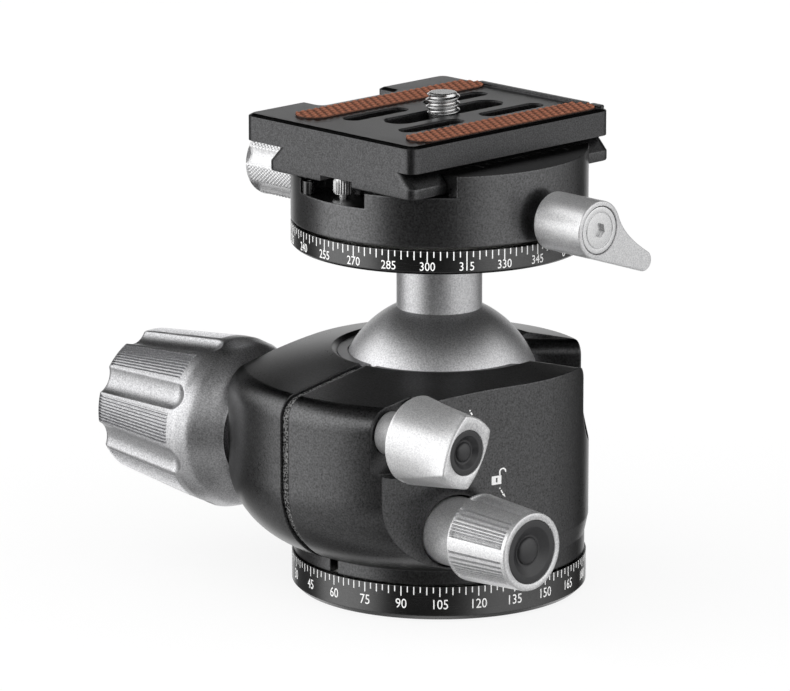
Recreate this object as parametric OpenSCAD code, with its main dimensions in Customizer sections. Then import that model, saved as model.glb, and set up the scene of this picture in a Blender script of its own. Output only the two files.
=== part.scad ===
// Tripod ball head: panning base, split clamping housing round a steel-hard ball,
// panning top with a dovetail clamp, and a quick-release camera plate.
// Origin: centre of the base's bottom face. +Z is up, +Y runs along the dovetail,
// and every knob axis lies along X.

/* [Base] */
// Diameter of the graduated base disc
base_d = 55; // [52:1:58]
// Thickness of the base disc
base_h = 6.4; // [5.8:0.2:7.4]
// Chamfer round the base disc's bottom edge
base_edge = 0.9; // [0.3:0.1:1.4]
// Major diameter of the tripod screw thread
tripod_thread_d = 9.525; // [9.525:3/8 inch, 6.35:1/4 inch]
// Depth of the tripod screw thread
tripod_thread_depth = 10.5; // [9:0.5:11]

/* [Panning bearing] */
// Diameter of the spool that the housing turns on
spool_d = 32; // [30:0.5:33]
// Height of the spool's flange
spool_h = 6; // [5.5:0.25:6.5]
// Thickness of the low-friction washer under the housing
pan_washer_t = 0.3; // [0.2:0.05:0.5]

/* [Ball] */
// Diameter of the ball
ball_d = 38; // [36:0.5:39]
// Height of the ball's centre above the base's bottom
ball_z = 35.6; // [35.2:0.2:36.6]
// Diameter of the stem on the ball
stem_d = 15.9; // [14:0.1:16.4]
// Gap between the ball and its socket
ball_gap = 0.15; // [0.1:0.05:0.2]

/* [Housing] */
// Diameter of the round part of the housing
body_d = 55.8; // [55:0.2:58]
// Diameter of the collar that covers the panning bearing
collar_d = 54.4; // [52:0.2:54.8]
// Height of the collar
collar_h = 3.4; // [2.6:0.2:4]
// Height of the housing's rim above the ball's centre
rim_above_ball = 9.4; // [9.2:0.1:10]
// Diameter of the rim's opening round the ball
rim_d = 39.8; // [39.6:0.2:41]
// Drop of the top face from the rim to the housing's edge, in degrees
top_slope = 9.7; // [7:0.1:11]
// Radius of the clamping ears about the vertical axis
ear_r = 39.6; // [39:0.2:41]
// Rounding of the ears' top edge
ear_round = 4.5; // [3:0.5:5]
// Rounding of the ears' underside
belly_r = 15.9; // [15:0.1:16.5]
// Slant of the flat on the small knobs' side, in degrees
right_slant = 14.6; // [13:0.2:16]
// Slant of the flat on the main knob's side, in degrees
left_slant = 10; // [8:0.5:12]
// Width of the clamping slit
slit_w = 2; // [1.5:0.1:2.4]
// Direction of the drop notch, in degrees from +X
notch_angle = 45.6; // [42:0.2:50]
// Gap between the dropped stem and the notch, on each side
notch_gap = 0.45; // [0.35:0.05:0.8]
// Rounding where the notch meets the top face
notch_round = 2.6; // [1.5:0.1:3]

/* [Main knob] */
// Sideways place of the clamping stud, towards the ears
stud_y = -22.6; // [-23.2:0.1:-22.4]
// Height of the clamping stud
stud_z = 28.8; // [28.4:0.1:29]
// Diameter of the clamping stud
stud_d = 7; // [6:0.5:7]
// Largest radius of the knob
knob_r = 16.2; // [15.5:0.1:17]
// Radius of the knob's outer end
knob_end_r = 13.9; // [13:0.1:14.6]
// Length of the knob
knob_len = 31.7; // [30:0.1:34]
// Number of finger scallops round the knob
knob_lobes = 8; // [6:1:9]
// Radius of each finger scallop
scallop_r = 3.7; // [3:0.1:4]
// Depth of each finger scallop
scallop_depth = 1.25; // [0.8:0.05:1.6]

/* [Friction knob] */
// Sideways place of the friction screw
friction_y = -30.6; // [-31:0.1:-30]
// Height of the friction screw
friction_z = 37.4; // [37.2:0.1:37.8]
// Radius of the friction knob's round base
friction_r = 8.1; // [7.4:0.1:8.3]
// Radius of the friction knob at its outer end
friction_end_r = 6.5; // [6:0.1:7]
// Radius of the friction knob's round core at its outer end
friction_core_r = 4.5; // [4.4:0.1:5.5]
// Turn of the friction knob's two wings about its axis, in degrees
friction_turn = 30; // [0:5:90]
// Length of the tapered part of the friction knob
friction_len = 13; // [11:0.5:15]
// Radius of the friction knob's stem
friction_stem_r = 4; // [3.6:0.1:4.6]

/* [Pan lock knob] */
// Sideways place of the pan lock screw
lock_y = -19.3; // [-19.6:0.1:-19.2]
// Height of the pan lock screw
lock_z = 17.9; // [17.6:0.1:18.2]
// Radius of the pan lock knob at its base
lock_r = 8.1; // [7.6:0.1:8.4]
// Radius of the pan lock knob at its outer end
lock_end_r = 7.2; // [6.8:0.1:7.4]
// Length of the knurled part of the pan lock knob
lock_len = 14; // [12:0.5:16]
// Radius of the pan lock knob's stem
lock_stem_r = 6.4; // [6:0.1:6.8]

/* [Panning top] */
// Height of the panning scale ring's underside
top_z = 65; // [64:0.5:68]
// Thickness of the panning scale ring
ring_h = 4.4; // [4:0.2:5]
// Diameter of the panning scale ring and the clamp
turret_d = 55; // [54:0.5:56]
// Height of the clamp's floor above its underside
floor_h = 9.2; // [9:0.1:9.6]
// Height of the jaws above the clamp's floor
jaw_h = 3.9; // [3.4:0.1:4.2]
// How far the moving jaw opens
jaw_travel = 3; // [2:0.5:3.5]

/* [Clamp knob and lever] */
// Height of the clamp screws above the clamp's underside
screw_h = 3.7; // [3.6:0.05:3.8]
// Radius of the clamp knob
clamp_knob_r = 6.8; // [6.4:0.1:7.2]
// Length of the clamp knob
clamp_knob_len = 16; // [14:0.5:18]
// Radius of the lever's hub
hub_r = 5.4; // [5:0.1:5.8]
// Length of the lever's hub
hub_len = 11.5; // [10:0.5:13]
// Reach of the lever's tail from the hub's axis
tail_reach = 15.9; // [13.5:0.1:18]
// Droop of the lever's tail, in degrees
tail_droop = 31.5; // [28:0.5:35]

/* [Camera plate] */
// Length of the plate along the dovetail
plate_len = 51.6; // [51:0.2:52.4]
// Width of the plate's dovetail foot, the size that clamps share
dovetail_w = 38; // [37.6:0.1:38.2]
// Thickness of the plate
plate_t = 9.8; // [9.6:0.1:10.4]
// Thickness of the plate's top flange
flange_t = 5; // [4.8:0.1:5.4]
// Reach of the plate's ears past the dovetail, on the clamp knob's side
plate_ear = 6.2; // [5.5:0.1:7]
// Width of the gap between the plate's ears
ear_gap = 19; // [17:0.5:21]
// Major diameter of the camera screw thread
camera_thread_d = 6.35; // [6.35:1/4 inch, 5.8:small]
// Height of the camera screw above the plate
camera_screw_h = 3.8; // [3.4:0.1:4.5]
// How far the plate slides towards its stop
plate_travel = 8; // [4:0.5:10]
// Length of the rubber pads
pad_len = 46; // [40:0.5:47]
// Width of the rubber pads
pad_w = 7; // [6:0.1:7.2]

/* [Hidden] */
$fn = 120;

// Clearances: a shaft that turns, a face that passes another, and a piece that moves freely
run_gap = 0.05;
face_gap = 0.1;
free_gap = 0.3;
eps = 0.01;
far = 200;

// Base and panning bearing
base_r = base_d / 2;
bush_r = 7.5;
bush_h = tripod_thread_depth + 1;
spool_r = spool_d / 2;
spool_top = base_h + spool_h;
spool_groove = 1.1;
post_r = 10.9;
housing_z = base_h + pan_washer_t + run_gap;
web_z = spool_top + face_gap;
web_t = 1.4;
web_top = web_z + web_t;
retainer_z = web_top + face_gap;
retainer_t = 1.1;
retainer_r = 13.4;
ledge_z = retainer_z + retainer_t + face_gap;
ledge_r = retainer_r + face_gap;
spool_screw_r = 1.25;
spool_screw_ring = 12.6;
spool_screw_head_r = 2.4;
retainer_screw_r = 0.8;
retainer_screw_ring = 9.2;
retainer_screw_head_r = 1.4;
retainer_screw_len = 4;

// Ball, its seat and the rim
ball_r = ball_d / 2;
stem_r = stem_d / 2;
socket_r = ball_r + ball_gap;
seat_r = ball_r * 0.8;
seat_hole_r = ball_r * 0.48;
seat_spring_t = 0.6;
seat_z = ledge_z + seat_spring_t;
ball_flat = 0.5;
rim_r = rim_d / 2;
rim_ring_r = rim_r - 0.95;
rim_z = ball_z + rim_above_ball;
rim_ring_z = ball_z + 6.9;
rim_ring_top = rim_ring_z + 1.9;
rim_chamfer = 0.75;

// Housing
body_r = body_d / 2;
collar_r = collar_d / 2;
collar_top = housing_z + collar_h;
skirt_z = collar_top + 3.4;
belly_z = collar_top - 1.15 + belly_r;
slit_inner = -(socket_r - 3);
side_reach = ear_r + 2;
over_top = 7;
notch_r = stem_r + notch_gap;
seal_inset = 0.7;

// Main clamping knob
spot_x = 22.3;
knob_gap = 0.6;
washer_t = 0.7;
washer_r = 9;
knob_x = spot_x + washer_t + free_gap;
nut_r = 7;
nut_len = 19;
stud_end = 14;
knob_shoulder = 4.8;
knob_grip = 10.4;
knob_cap_r = 9.2;
scallop_turn = 18.3;
knob_cap_t = 1.6;

// Friction knob
friction_floor = 18;
friction_spot_r = friction_r - 0.2;
friction_wing_start = 0.3;
friction_cap_depth = 5;
friction_base = 25;
friction_screw_r = 2.2;
friction_screw_end = -12;
friction_cap_r = 4.15;

// Pan lock knob
lock_floor = 20.6;
lock_base = 29.3;
lock_hole_gap = 0.4;
lock_screw_r = 2.6;
lock_cap_r = 5.9;
shoe_x = 2.6;
shoe_len = 7;
shoe_w = 6.4;
shoe_z = housing_z + 1.4;
cap_t = 1.2;

// Panning top
ring_top = top_z + ring_h;
turret_z = ring_top + 0.6;
turret_r = turret_d / 2;
floor_z = turret_z + floor_h;
jaw_z = floor_z + jaw_h;
screw_z = turret_z + screw_h;
spigot_r = 5.5;
turret_hub_r = 9;
hub_rise = 6.5;
hub_top = turret_z + hub_rise;
retainer_top_r = 12;
turret_retainer_t = 0.9;
bolt_r = 3;
bolt_head_r = 4.6;
bolt_head_h = 1.5;
bolt_socket_r = 2.3;
bolt_depth = 14;
hub_washer_inset = 3;
clamp_screw_r = 2;
jaw_split = 19.6;
jaw_ledge = 1.4;
guide_pin_r = 1.5;
guide_pin_y = 13;
guide_pin_from = 12.5;
guide_pin_to = jaw_split + 4.5;
spring_r = 1.9;
spring_y = 7.5;
spring_from = 14.6;
spring_wire = 0.5;
hub_start = turret_r + 2;
hub_end = hub_start + hub_len;
tail_t = 2.4;
tail_tip_r = 1.95;
knob_start = turret_r + 2.5;
pocket_z = turret_z + 6.45;
pocket_left = -10.4;
pocket_right = 7.4;
pocket_depth = 8.2;
pin_x = -2.3;
pin_y = -22.1;
pin_r = 2.1;
post_x = -8.6;
post_y = -25.2;
post_pin_r = 0.85;
post_shank_r = 0.45;
pin_shank_r = 1.1;
jaw_relief_y = -16.9;

// Camera plate
plate_gap = 0.25;
plate_z = floor_z + plate_gap;
plate_top = plate_z + plate_t;
flange_z = plate_top - flange_t;
foot_w = dovetail_w / 2;
lip_h = 1.9;
neck_w = foot_w - (plate_t - flange_t - lip_h);
grip_gap = 0.12;
plate_corner = 2;
ear_gap_centre = -1;
ear_gap_floor = 1.4;
pad_x = 14.5;
pad_y = 1.5;
pad_proud = 0.5;
pad_sink = 0.8;
slot_w = 5.8;
slot_from = -13;
slot_to = 15.2;
side_slot_w = 3.5;
side_slot_x = 7.3;
side_slot_len = 15;
side_slot_centres = [-9.3, 11.35];
strip_w = 1.9;
strip_h = 0.5;
camera_screw_y = 0.8;
camera_screw_r = camera_thread_d / 2;
screw_head_r = 6.2;
screw_head_h = 2.2;
screw_pocket_w = 2 * screw_head_r + 0.8;
screw_pocket_h = 4.2;
clip_t = 0.8;
neck_r = slot_w / 2 - free_gap;
pin_slot_x = -0.7;
pin_slot_w = 8.2;
pin_slot_h = 1.2;
pin_slot_end = pin_y + pin_r + plate_travel + free_gap;
stop_screw_r = 1.25;
stop_screw_y = plate_len / 2 - 1.4;

// A rod along X from x0 to x1, at a given height and side
module rod_x(x0, x1, y, z, r) {
    translate([min(x0, x1), y, z])
        rotate([0, 90, 0])
        cylinder(r = r, h = abs(x1 - x0));
}

// A turned shape whose outline is drawn as radius and distance out along +X
module turned_out(x, y, z) {
    translate([x, y, z])
        rotate([0, 90, 0])
        rotate_extrude()
        children();
}

// The same, running out along -X
module turned_back(x, y, z) {
    translate([x, y, z])
        rotate([0, -90, 0])
        rotate_extrude()
        children();
}

// A flat ring
module ring(outer, inner, z, h) {
    translate([0, 0, z])
        difference() {
            cylinder(r = outer, h = h);
            translate([0, 0, -1]) cylinder(r = inner, h = h + 2);
        }
}

// Three copies round the vertical axis
module three(start) {
    for (turn = [0, 120, 240]) rotate(turn + start) children();
}

// Countersunk screw, head down
module sunk_screw(r, head_r, length) {
    cylinder(r1 = head_r, r2 = r, h = head_r - r);
    cylinder(r = r, h = length);
}

module spool_screw_set(extra) {
    three(0)
        translate([spool_screw_ring, 0, 0.3 - extra])
        sunk_screw(spool_screw_r, spool_screw_head_r, spool_top - 1.6 + extra);
}

module retainer_screw_set() {
    three(60)
        translate([retainer_screw_ring, 0, retainer_z + retainer_t])
        mirror([0, 0, 1])
        sunk_screw(retainer_screw_r, retainer_screw_head_r, retainer_screw_len);
}

// Graduated disc that stands on the tripod
module base_ring() {
    color("dimgray")
    difference() {
        rotate_extrude()
            polygon([[bush_r, 0], [base_r - base_edge, 0], [base_r, base_edge], [base_r, base_h],
                [bush_r, base_h]]);
        spool_screw_set(0);
        three(0) translate([spool_screw_ring, 0, -1]) cylinder(r = spool_screw_head_r, h = 1.3);
    }
}

// Threaded steel bush for the tripod's screw
module tripod_bush() {
    color("silver")
    difference() {
        cylinder(r = bush_r, h = bush_h);
        translate([0, 0, -1]) cylinder(r = tripod_thread_d / 2, h = tripod_thread_depth + 1);
    }
}

// Spool that the housing turns on, with the groove that the pan lock shoe presses
module pan_spool() {
    color("goldenrod")
    difference() {
        rotate_extrude()
            polygon([[0, base_h], [spool_r, base_h], [spool_r, base_h + 1.2],
                [spool_r - spool_groove, base_h + 1.2 + spool_groove],
                [spool_r - spool_groove, spool_top - 1.2 - spool_groove], [spool_r, spool_top - 1.2],
                [spool_r, spool_top], [post_r, spool_top], [post_r, retainer_z], [0, retainer_z]]);
        translate([0, 0, base_h - 1]) cylinder(r = bush_r, h = bush_h - base_h + 1);
        spool_screw_set(0);
        retainer_screw_set();
    }
}

module spool_screws() {
    color("gray")
    spool_screw_set(0);
}

module pan_washer() {
    color("white")
    ring(base_r - 2.2, spool_r + 0.5, base_h, pan_washer_t);
}

// Disc over the spool's post that holds the housing down
module pan_retainer() {
    color("silver")
    difference() {
        translate([0, 0, retainer_z]) cylinder(r = retainer_r, h = retainer_t);
        retainer_screw_set();
    }
}

module retainer_screws() {
    color("gray")
    retainer_screw_set();
}

// Height of the sloping top face at a radius
function top_at(r) = rim_z - (r - rim_r) * tan(top_slope);

// Everything above the sloping top face, lowered by a drop
module above_top(drop) {
    rotate_extrude()
        polygon([[0, top_at(0) - drop], [side_reach, top_at(side_reach) - drop], [side_reach, far],
            [0, far]]);
}

// Outline of the round part of the housing, as radius and height, before the top is cut
module body_outline() {
    over_z = rim_z + over_top;
    polygon([[0, housing_z], [collar_r, housing_z], [collar_r, collar_top], [body_r, skirt_z],
        [body_r, over_z], [0, over_z]]);
}

// Outline of the ears, with a rounded top edge and a rounded underside, drawn smaller by an inset
// and before the top is cut
module ear_outline(inset) {
    round_z = top_at(ear_r - ear_round) - ear_round / cos(top_slope) + 0.03;
    top_r = ear_round - inset;
    crest = [ear_r - ear_round + top_r * sin(top_slope), round_z + top_r * cos(top_slope)];
    translate([ear_r - ear_round, round_z]) circle(r = top_r);
    translate([ear_r - belly_r, belly_z]) circle(r = belly_r - inset);
    polygon([[0, housing_z + collar_h / 2], [ear_r - belly_r, belly_z - belly_r + inset],
        [ear_r - belly_r, belly_z], [ear_r - inset, belly_z], [ear_r - inset, round_z], crest,
        crest + [-over_top, over_top], [0, crest[1] + over_top]]);
}

// Plan of the two ears: straight flanks that leave the round part without a step
module ear_plan() {
    right_y = -side_reach;
    right_x = (body_r + right_y * sin(right_slant)) / cos(right_slant);
    left_x = -(body_r + right_y * sin(left_slant)) / cos(left_slant);
    polygon([[0, 0], [body_r * cos(right_slant), -body_r * sin(right_slant)], [right_x, right_y],
        [left_x, right_y], [-body_r * cos(left_slant), -body_r * sin(left_slant)]]);
}

// U-shaped way for the stem when the ball is dropped to the side
module notch_cut() {
    mouth_z = top_at(body_r);
    rotate([0, 0, notch_angle])
        rotate([90, 0, 90])
        linear_extrude(height = side_reach)
        difference() {
            union() {
                translate([0, ball_z]) circle(r = notch_r);
                translate([-notch_r, ball_z]) square([2 * notch_r, far]);
                translate([-notch_r - notch_round, mouth_z - notch_round])
                    square([2 * (notch_r + notch_round), far]);
            }
            for (side = [-1, 1])
                translate([side * (notch_r + notch_round), mouth_z - notch_round])
                circle(r = notch_round);
        }
}

module slit_cut(width, inset) {
    translate([-width / 2, -side_reach - far, -1 - inset])
        cube([width, far + side_reach + slit_inner, far]);
}

module housing_solid() {
    rotate_extrude() body_outline();
    intersection() {
        rotate_extrude() ear_outline(0);
        linear_extrude(height = far) ear_plan();
    }
}

// Split housing that clamps the ball, with its notch, slit and screw bores
module housing() {
    color([0.09, 0.09, 0.1])
    difference() {
        housing_solid();
        above_top(0);
        // Ball socket, rim and the seat below
        translate([0, 0, ball_z]) sphere(r = socket_r);
        rotate_extrude()
            polygon([[0, rim_ring_z], [rim_ring_r, rim_ring_z], [rim_ring_r, rim_z - rim_chamfer],
                [rim_r, rim_z], [rim_r, far], [0, far]]);
        translate([0, 0, ledge_z]) cylinder(r = seat_r + face_gap, h = ball_z - ledge_z);
        translate([0, 0, web_top - eps]) cylinder(r = ledge_r, h = ledge_z - web_top + 1);
        translate([0, 0, web_z - 1]) cylinder(r = post_r + face_gap, h = web_t + 2);
        translate([0, 0, housing_z - 1]) cylinder(r = spool_r + run_gap, h = web_z - housing_z + 1);
        notch_cut();
        slit_cut(slit_w, 0);
        // Clamping stud, tapped in the small knobs' ear, and the main knob's seat
        rod_x(0, stud_end + 1, stud_y, stud_z, stud_d / 2);
        rod_x(0, -side_reach, stud_y, stud_z, stud_d / 2 + free_gap);
        turned_back(-spot_x, stud_y, stud_z) main_knob_room();
        // Friction screw and its seat
        rod_x(friction_screw_end - 1, 0, friction_y, friction_z, friction_screw_r + run_gap);
        rod_x(0, far, friction_y, friction_z, friction_screw_r + face_gap);
        rod_x(friction_floor, far, friction_y, friction_z, friction_spot_r);
        // Pan lock screw, its knob's stem and its shoe
        rod_x(shoe_x, far, lock_y, lock_z, lock_screw_r + face_gap);
        rod_x(lock_floor, far, lock_y, lock_z, lock_stem_r + lock_hole_gap);
        shoe_block(face_gap);
    }
}

// Dark strip that fills the clamping slit, just below the ears' surface
module slit_seal() {
    inner = rim_r + 1.2;
    color([0.05, 0.05, 0.05])
    difference() {
        intersection() {
            translate([-slit_w / 2, -side_reach, collar_top])
                cube([slit_w, side_reach - inner, far]);
            rotate_extrude() ear_outline(seal_inset);
        }
        above_top(seal_inset);
        rod_x(-slit_w, slit_w, stud_y, stud_z, stud_d / 2 + free_gap);
        rod_x(-slit_w, slit_w, friction_y, friction_z, friction_screw_r + face_gap);
    }
}

// Thin ring that closes the socket above the ball, open at the notch
module rim_ring() {
    color("gray")
    difference() {
        rotate_extrude()
            polygon([[0, rim_ring_z], [rim_ring_r, rim_ring_z], [rim_ring_r, rim_ring_top],
                [0, rim_ring_top]]);
        translate([0, 0, ball_z]) sphere(r = socket_r);
        notch_cut();
        slit_cut(slit_w, 0);
    }
}

// Spring washer under the ball's seat
module seat_spring() {
    color("silver")
    ring(seat_r, seat_r - 1.3, ledge_z, seat_spring_t);
}

// Plastic seat that the ball rests in
module ball_seat() {
    color("white")
    difference() {
        ring(seat_r, seat_hole_r, seat_z, ball_z - seat_z);
        translate([0, 0, ball_z]) sphere(r = ball_r + run_gap);
    }
}

// Steel stud that draws the two ears together
module clamp_stud() {
    color("silver")
    rod_x(stud_end, -knob_x - nut_len + 0.5, stud_y, stud_z, stud_d / 2);
}

module thrust_washer() {
    color("silver")
    difference() {
        rod_x(-spot_x, -spot_x - washer_t, stud_y, stud_z, washer_r);
        rod_x(0, -far, stud_y, stud_z, stud_d / 2 + free_gap);
    }
}

// Hollow in the housing for the knob's inner end, from the spot face outwards
module main_knob_room() {
    r = knob_r + knob_gap;
    start = knob_x - spot_x;
    polygon([[0, 0], [r - 5.6, 0], [r - 5.6, start], [r - 3.1, start + 2.2],
        [r - 0.9, start + knob_shoulder], [r, start + knob_shoulder + 3], [r, side_reach], [0, side_reach]]);
}

// Outline of the main knob, as radius and distance out from its inner face
module main_knob_outline() {
    polygon([[0, 0], [knob_r - 5.6, 0], [knob_r - 3.1, 2.2], [knob_r - 0.9, knob_shoulder],
        [knob_r, knob_shoulder + 3], [knob_r - 0.1, knob_grip], [knob_end_r, knob_len - 0.8],
        [knob_end_r - 0.8, knob_len], [0, knob_len]]);
}

// Main clamping knob with finger scallops
module main_knob() {
    taper = atan((knob_r - knob_end_r) / (knob_len - knob_grip));
    color([0.55, 0.55, 0.56])
    difference() {
        turned_back(-knob_x, stud_y, stud_z) main_knob_outline();
        for (lobe = [0:knob_lobes - 1])
            translate([-knob_x - knob_grip, stud_y, stud_z])
            rotate([lobe * 360 / knob_lobes + scallop_turn, 0, 0])
            translate([0, 0, knob_r + scallop_r - scallop_depth])
            rotate([0, -90 - taper, 0]) {
                sphere(r = scallop_r, $fn = 48);
                cylinder(r = scallop_r, h = knob_len, $fn = 48);
            }
        rod_x(0, -knob_x - nut_len, stud_y, stud_z, nut_r);
        rod_x(-knob_x - knob_len + knob_cap_t, -far, stud_y, stud_z, knob_cap_r);
    }
}

// Brass nut in the knob, running on the stud
module knob_nut() {
    color("goldenrod")
    difference() {
        rod_x(-knob_x, -knob_x - nut_len, stud_y, stud_z, nut_r);
        rod_x(0, -far, stud_y, stud_z, stud_d / 2 + run_gap);
    }
}

module main_knob_cap() {
    color([0.5, 0.5, 0.52])
    rod_x(-knob_x - knob_len + knob_cap_t, -knob_x - knob_len + 0.2, stud_y, stud_z, knob_cap_r);
}

// Two wings that widen towards the friction knob's end
module friction_wings() {
    tip = friction_base + friction_len;
    intersection() {
        turned_out(0, friction_y, friction_z)
            polygon([[0, friction_base + 1], [friction_r - 0.25, friction_base + 1],
                [friction_end_r, tip], [0, tip]]);
        translate([0, friction_y, friction_z])
            rotate([-friction_turn, 0, 0])
            linear_extrude(height = 4 * friction_r, center = true)
            polygon([[friction_base, -friction_wing_start], [tip + 1, -friction_core_r + 0.1],
                [tip + 1, friction_core_r - 0.1], [friction_base, friction_wing_start]]);
    }
}

// Friction knob: a round grip that narrows to its end between two wings
module friction_knob() {
    tip = friction_base + friction_len;
    color([0.8, 0.8, 0.8])
    difference() {
        union() {
            turned_out(0, friction_y, friction_z)
                polygon([[0, friction_floor + face_gap], [friction_stem_r, friction_floor + face_gap],
                    [friction_stem_r, friction_base], [friction_r - 0.4, friction_base],
                    [friction_r, friction_base + 0.5], [friction_core_r, tip], [0, tip]]);
            friction_wings();
        }
        rod_x(0, tip - friction_cap_depth, friction_y, friction_z, friction_screw_r);
        rod_x(tip - cap_t, far, friction_y, friction_z, friction_cap_r);
    }
}

module friction_screw() {
    color("silver")
    rod_x(friction_screw_end, friction_base + friction_len - friction_cap_depth, friction_y,
        friction_z, friction_screw_r);
}

// Dished rubber cap in a knob's end
module dished_cap(x, y, z, r) {
    color([0.2, 0.2, 0.2])
    turned_out(x - cap_t, y, z)
        difference() {
            square([r, cap_t - 0.1]);
            translate([r * 0.42, cap_t]) square([r * 0.28, 1.2], center = true);
        }
}

module friction_cap() {
    dished_cap(friction_base + friction_len, friction_y, friction_z, friction_cap_r);
}

// Pan lock knob: plain stem and a tapered knurled grip
module pan_lock_knob() {
    color([0.8, 0.8, 0.8])
    difference() {
        turned_out(0, lock_y, lock_z)
            polygon([[0, lock_floor + face_gap], [lock_stem_r, lock_floor + face_gap],
                [lock_stem_r, lock_base], [lock_r - 0.3, lock_base], [lock_r, lock_base + 0.3],
                [lock_end_r, lock_base + lock_len - 0.3], [lock_end_r - 0.3, lock_base + lock_len],
                [0, lock_base + lock_len]]);
        rod_x(0, lock_base + lock_len - 5, lock_y, lock_z, lock_screw_r);
        rod_x(lock_base + lock_len - cap_t, far, lock_y, lock_z, lock_cap_r);
    }
}

module pan_lock_screw() {
    color("silver")
    rod_x(shoe_x + shoe_len + face_gap, lock_base + lock_len - 5, lock_y, lock_z, lock_screw_r);
}

module pan_lock_cap() {
    dished_cap(lock_base + lock_len, lock_y, lock_z, lock_cap_r);
}

// Block that the pan lock screw wedges against the spool, with room all round
module shoe_block(room) {
    difference() {
        translate([shoe_x - room, lock_y - shoe_w / 2 - room, shoe_z - room])
            cube([shoe_len + 2 * room, shoe_w + 2 * room, lock_z + 3.2 - shoe_z + 2 * room]);
        translate([0, 0, -1]) cylinder(r = spool_r + 0.2 - room, h = far);
    }
}

module pan_lock_shoe() {
    color("goldenrod")
    shoe_block(0);
}

// Ball and stem, turned in one piece
module ball_stem() {
    color([0.75, 0.75, 0.76])
    difference() {
        union() {
            translate([0, 0, ball_z]) sphere(r = ball_r);
            translate([0, 0, ball_z]) cylinder(r = stem_r, h = top_z - ball_z);
            translate([0, 0, ball_z]) cylinder(r = spigot_r, h = ring_top - 0.5 - ball_z);
        }
        translate([-far / 2, -far / 2, ball_z - ball_r - far + ball_flat]) cube([far, far, far]);
        translate([0, 0, top_z - bolt_depth]) cylinder(r = bolt_r, h = far);
    }
}

// Graduated ring fixed on the stem
module pan_scale_ring() {
    color("dimgray")
    difference() {
        rotate_extrude()
            polygon([[spigot_r, top_z], [turret_r - 0.5, top_z], [turret_r, top_z + 0.5],
                [turret_r, ring_top], [bolt_r, ring_top], [bolt_r, ring_top - 0.5],
                [spigot_r, ring_top - 0.5]]);
    }
}

// Bronze hub that the clamp turns on
module turret_hub() {
    color("goldenrod")
    ring(turret_hub_r, bolt_r, ring_top, hub_top - ring_top);
}

module turret_washer() {
    color("white")
    ring(turret_r - hub_washer_inset, turret_hub_r + 1, ring_top, turret_z - ring_top - run_gap);
}

module turret_retainer() {
    color("silver")
    ring(retainer_top_r, bolt_r, hub_top, turret_retainer_t);
}

// Bolt that holds the panning top on the ball's stem
module stem_bolt() {
    head_z = hub_top + turret_retainer_t;
    color("gray")
    difference() {
        union() {
            translate([0, 0, top_z - bolt_depth]) cylinder(r = bolt_r, h = head_z + bolt_depth - top_z);
            translate([0, 0, head_z]) cylinder(r = bolt_head_r, h = bolt_head_h);
        }
        translate([0, 0, head_z + bolt_head_h - 1]) cylinder(r = bolt_socket_r, h = 2, $fn = 6);
    }
}

// Groove that the plate's foot sits in, as X and Z, with the grip gap on the jaws
module channel_outline() {
    hook = foot_w + grip_gap;
    lip_z = plate_z + lip_h + 0.05;
    polygon([[-hook, floor_z], [hook, floor_z], [hook, lip_z], [hook - (jaw_z - lip_z), jaw_z],
        [hook - (jaw_z - lip_z), jaw_z + 1], [-hook + (jaw_z - lip_z), jaw_z + 1],
        [-hook + (jaw_z - lip_z), jaw_z], [-hook, lip_z]]);
}

module channel_cut() {
    translate([0, far / 2, 0])
        rotate([90, 0, 0])
        linear_extrude(height = far)
        channel_outline();
}

module turret_drum() {
    translate([0, 0, turret_z]) cylinder(r = turret_r, h = jaw_z - turret_z);
}

// Clamp body with the fixed jaw
module turret() {
    color([0.1, 0.1, 0.11])
    difference() {
        turret_drum();
        channel_cut();
        translate([-far, -far / 2, turret_z + jaw_ledge]) cube([far - jaw_split + 0.4, far, far]);
        translate([0, 0, turret_z - 1]) cylinder(r = turret_hub_r + run_gap, h = far);
        translate([0, 0, hub_top - face_gap]) cylinder(r = retainer_top_r + face_gap, h = far);
        rod_x(0, far, 0, screw_z, clamp_screw_r + face_gap);
        rod_x(0, -far, 0, screw_z, clamp_screw_r + run_gap);
        for (side = [-1, 1]) {
            rod_x(-guide_pin_from + 0.5, -far, side * guide_pin_y, screw_z, guide_pin_r);
            rod_x(-spring_from + face_gap, -far, side * spring_y, screw_z, spring_r + run_gap);
        }
        translate([-far - 10, -far / 2, floor_z]) cube([far, far, far]);
        translate([10, jaw_relief_y - far, floor_z]) cube([far, far, far]);
        translate([pocket_left, -far, pocket_z]) cube([pocket_right - pocket_left, far - turret_r
            + pocket_depth, far]);
        translate([pin_x, pin_y, pocket_z - 2]) cylinder(r = pin_shank_r, h = 3);
        translate([post_x, post_y, pocket_z - 2]) cylinder(r = post_shank_r, h = 3);
    }
}

// Tip that presses the hub to lock the panning top
module lock_tip() {
    color("goldenrod")
    rod_x(turret_hub_r + 0.15, turret_hub_r + 2, 0, screw_z, clamp_screw_r);
}

module lever_screw() {
    color("silver")
    rod_x(turret_hub_r + 2 + run_gap, hub_end - 3, 0, screw_z, clamp_screw_r);
}

// Outline of the lever's tail, across its axis
module tail_outline() {
    reach = tail_reach - tail_tip_r;
    translate([reach, 0]) circle(r = tail_tip_r);
    difference() {
        polygon([[0, -hub_r + 0.1], [reach, -tail_tip_r], [reach, tail_tip_r], [0, hub_r - 0.1]]);
        translate([reach - 1.6, tail_tip_r + 8.2]) circle(r = 8.2);
    }
}

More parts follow.
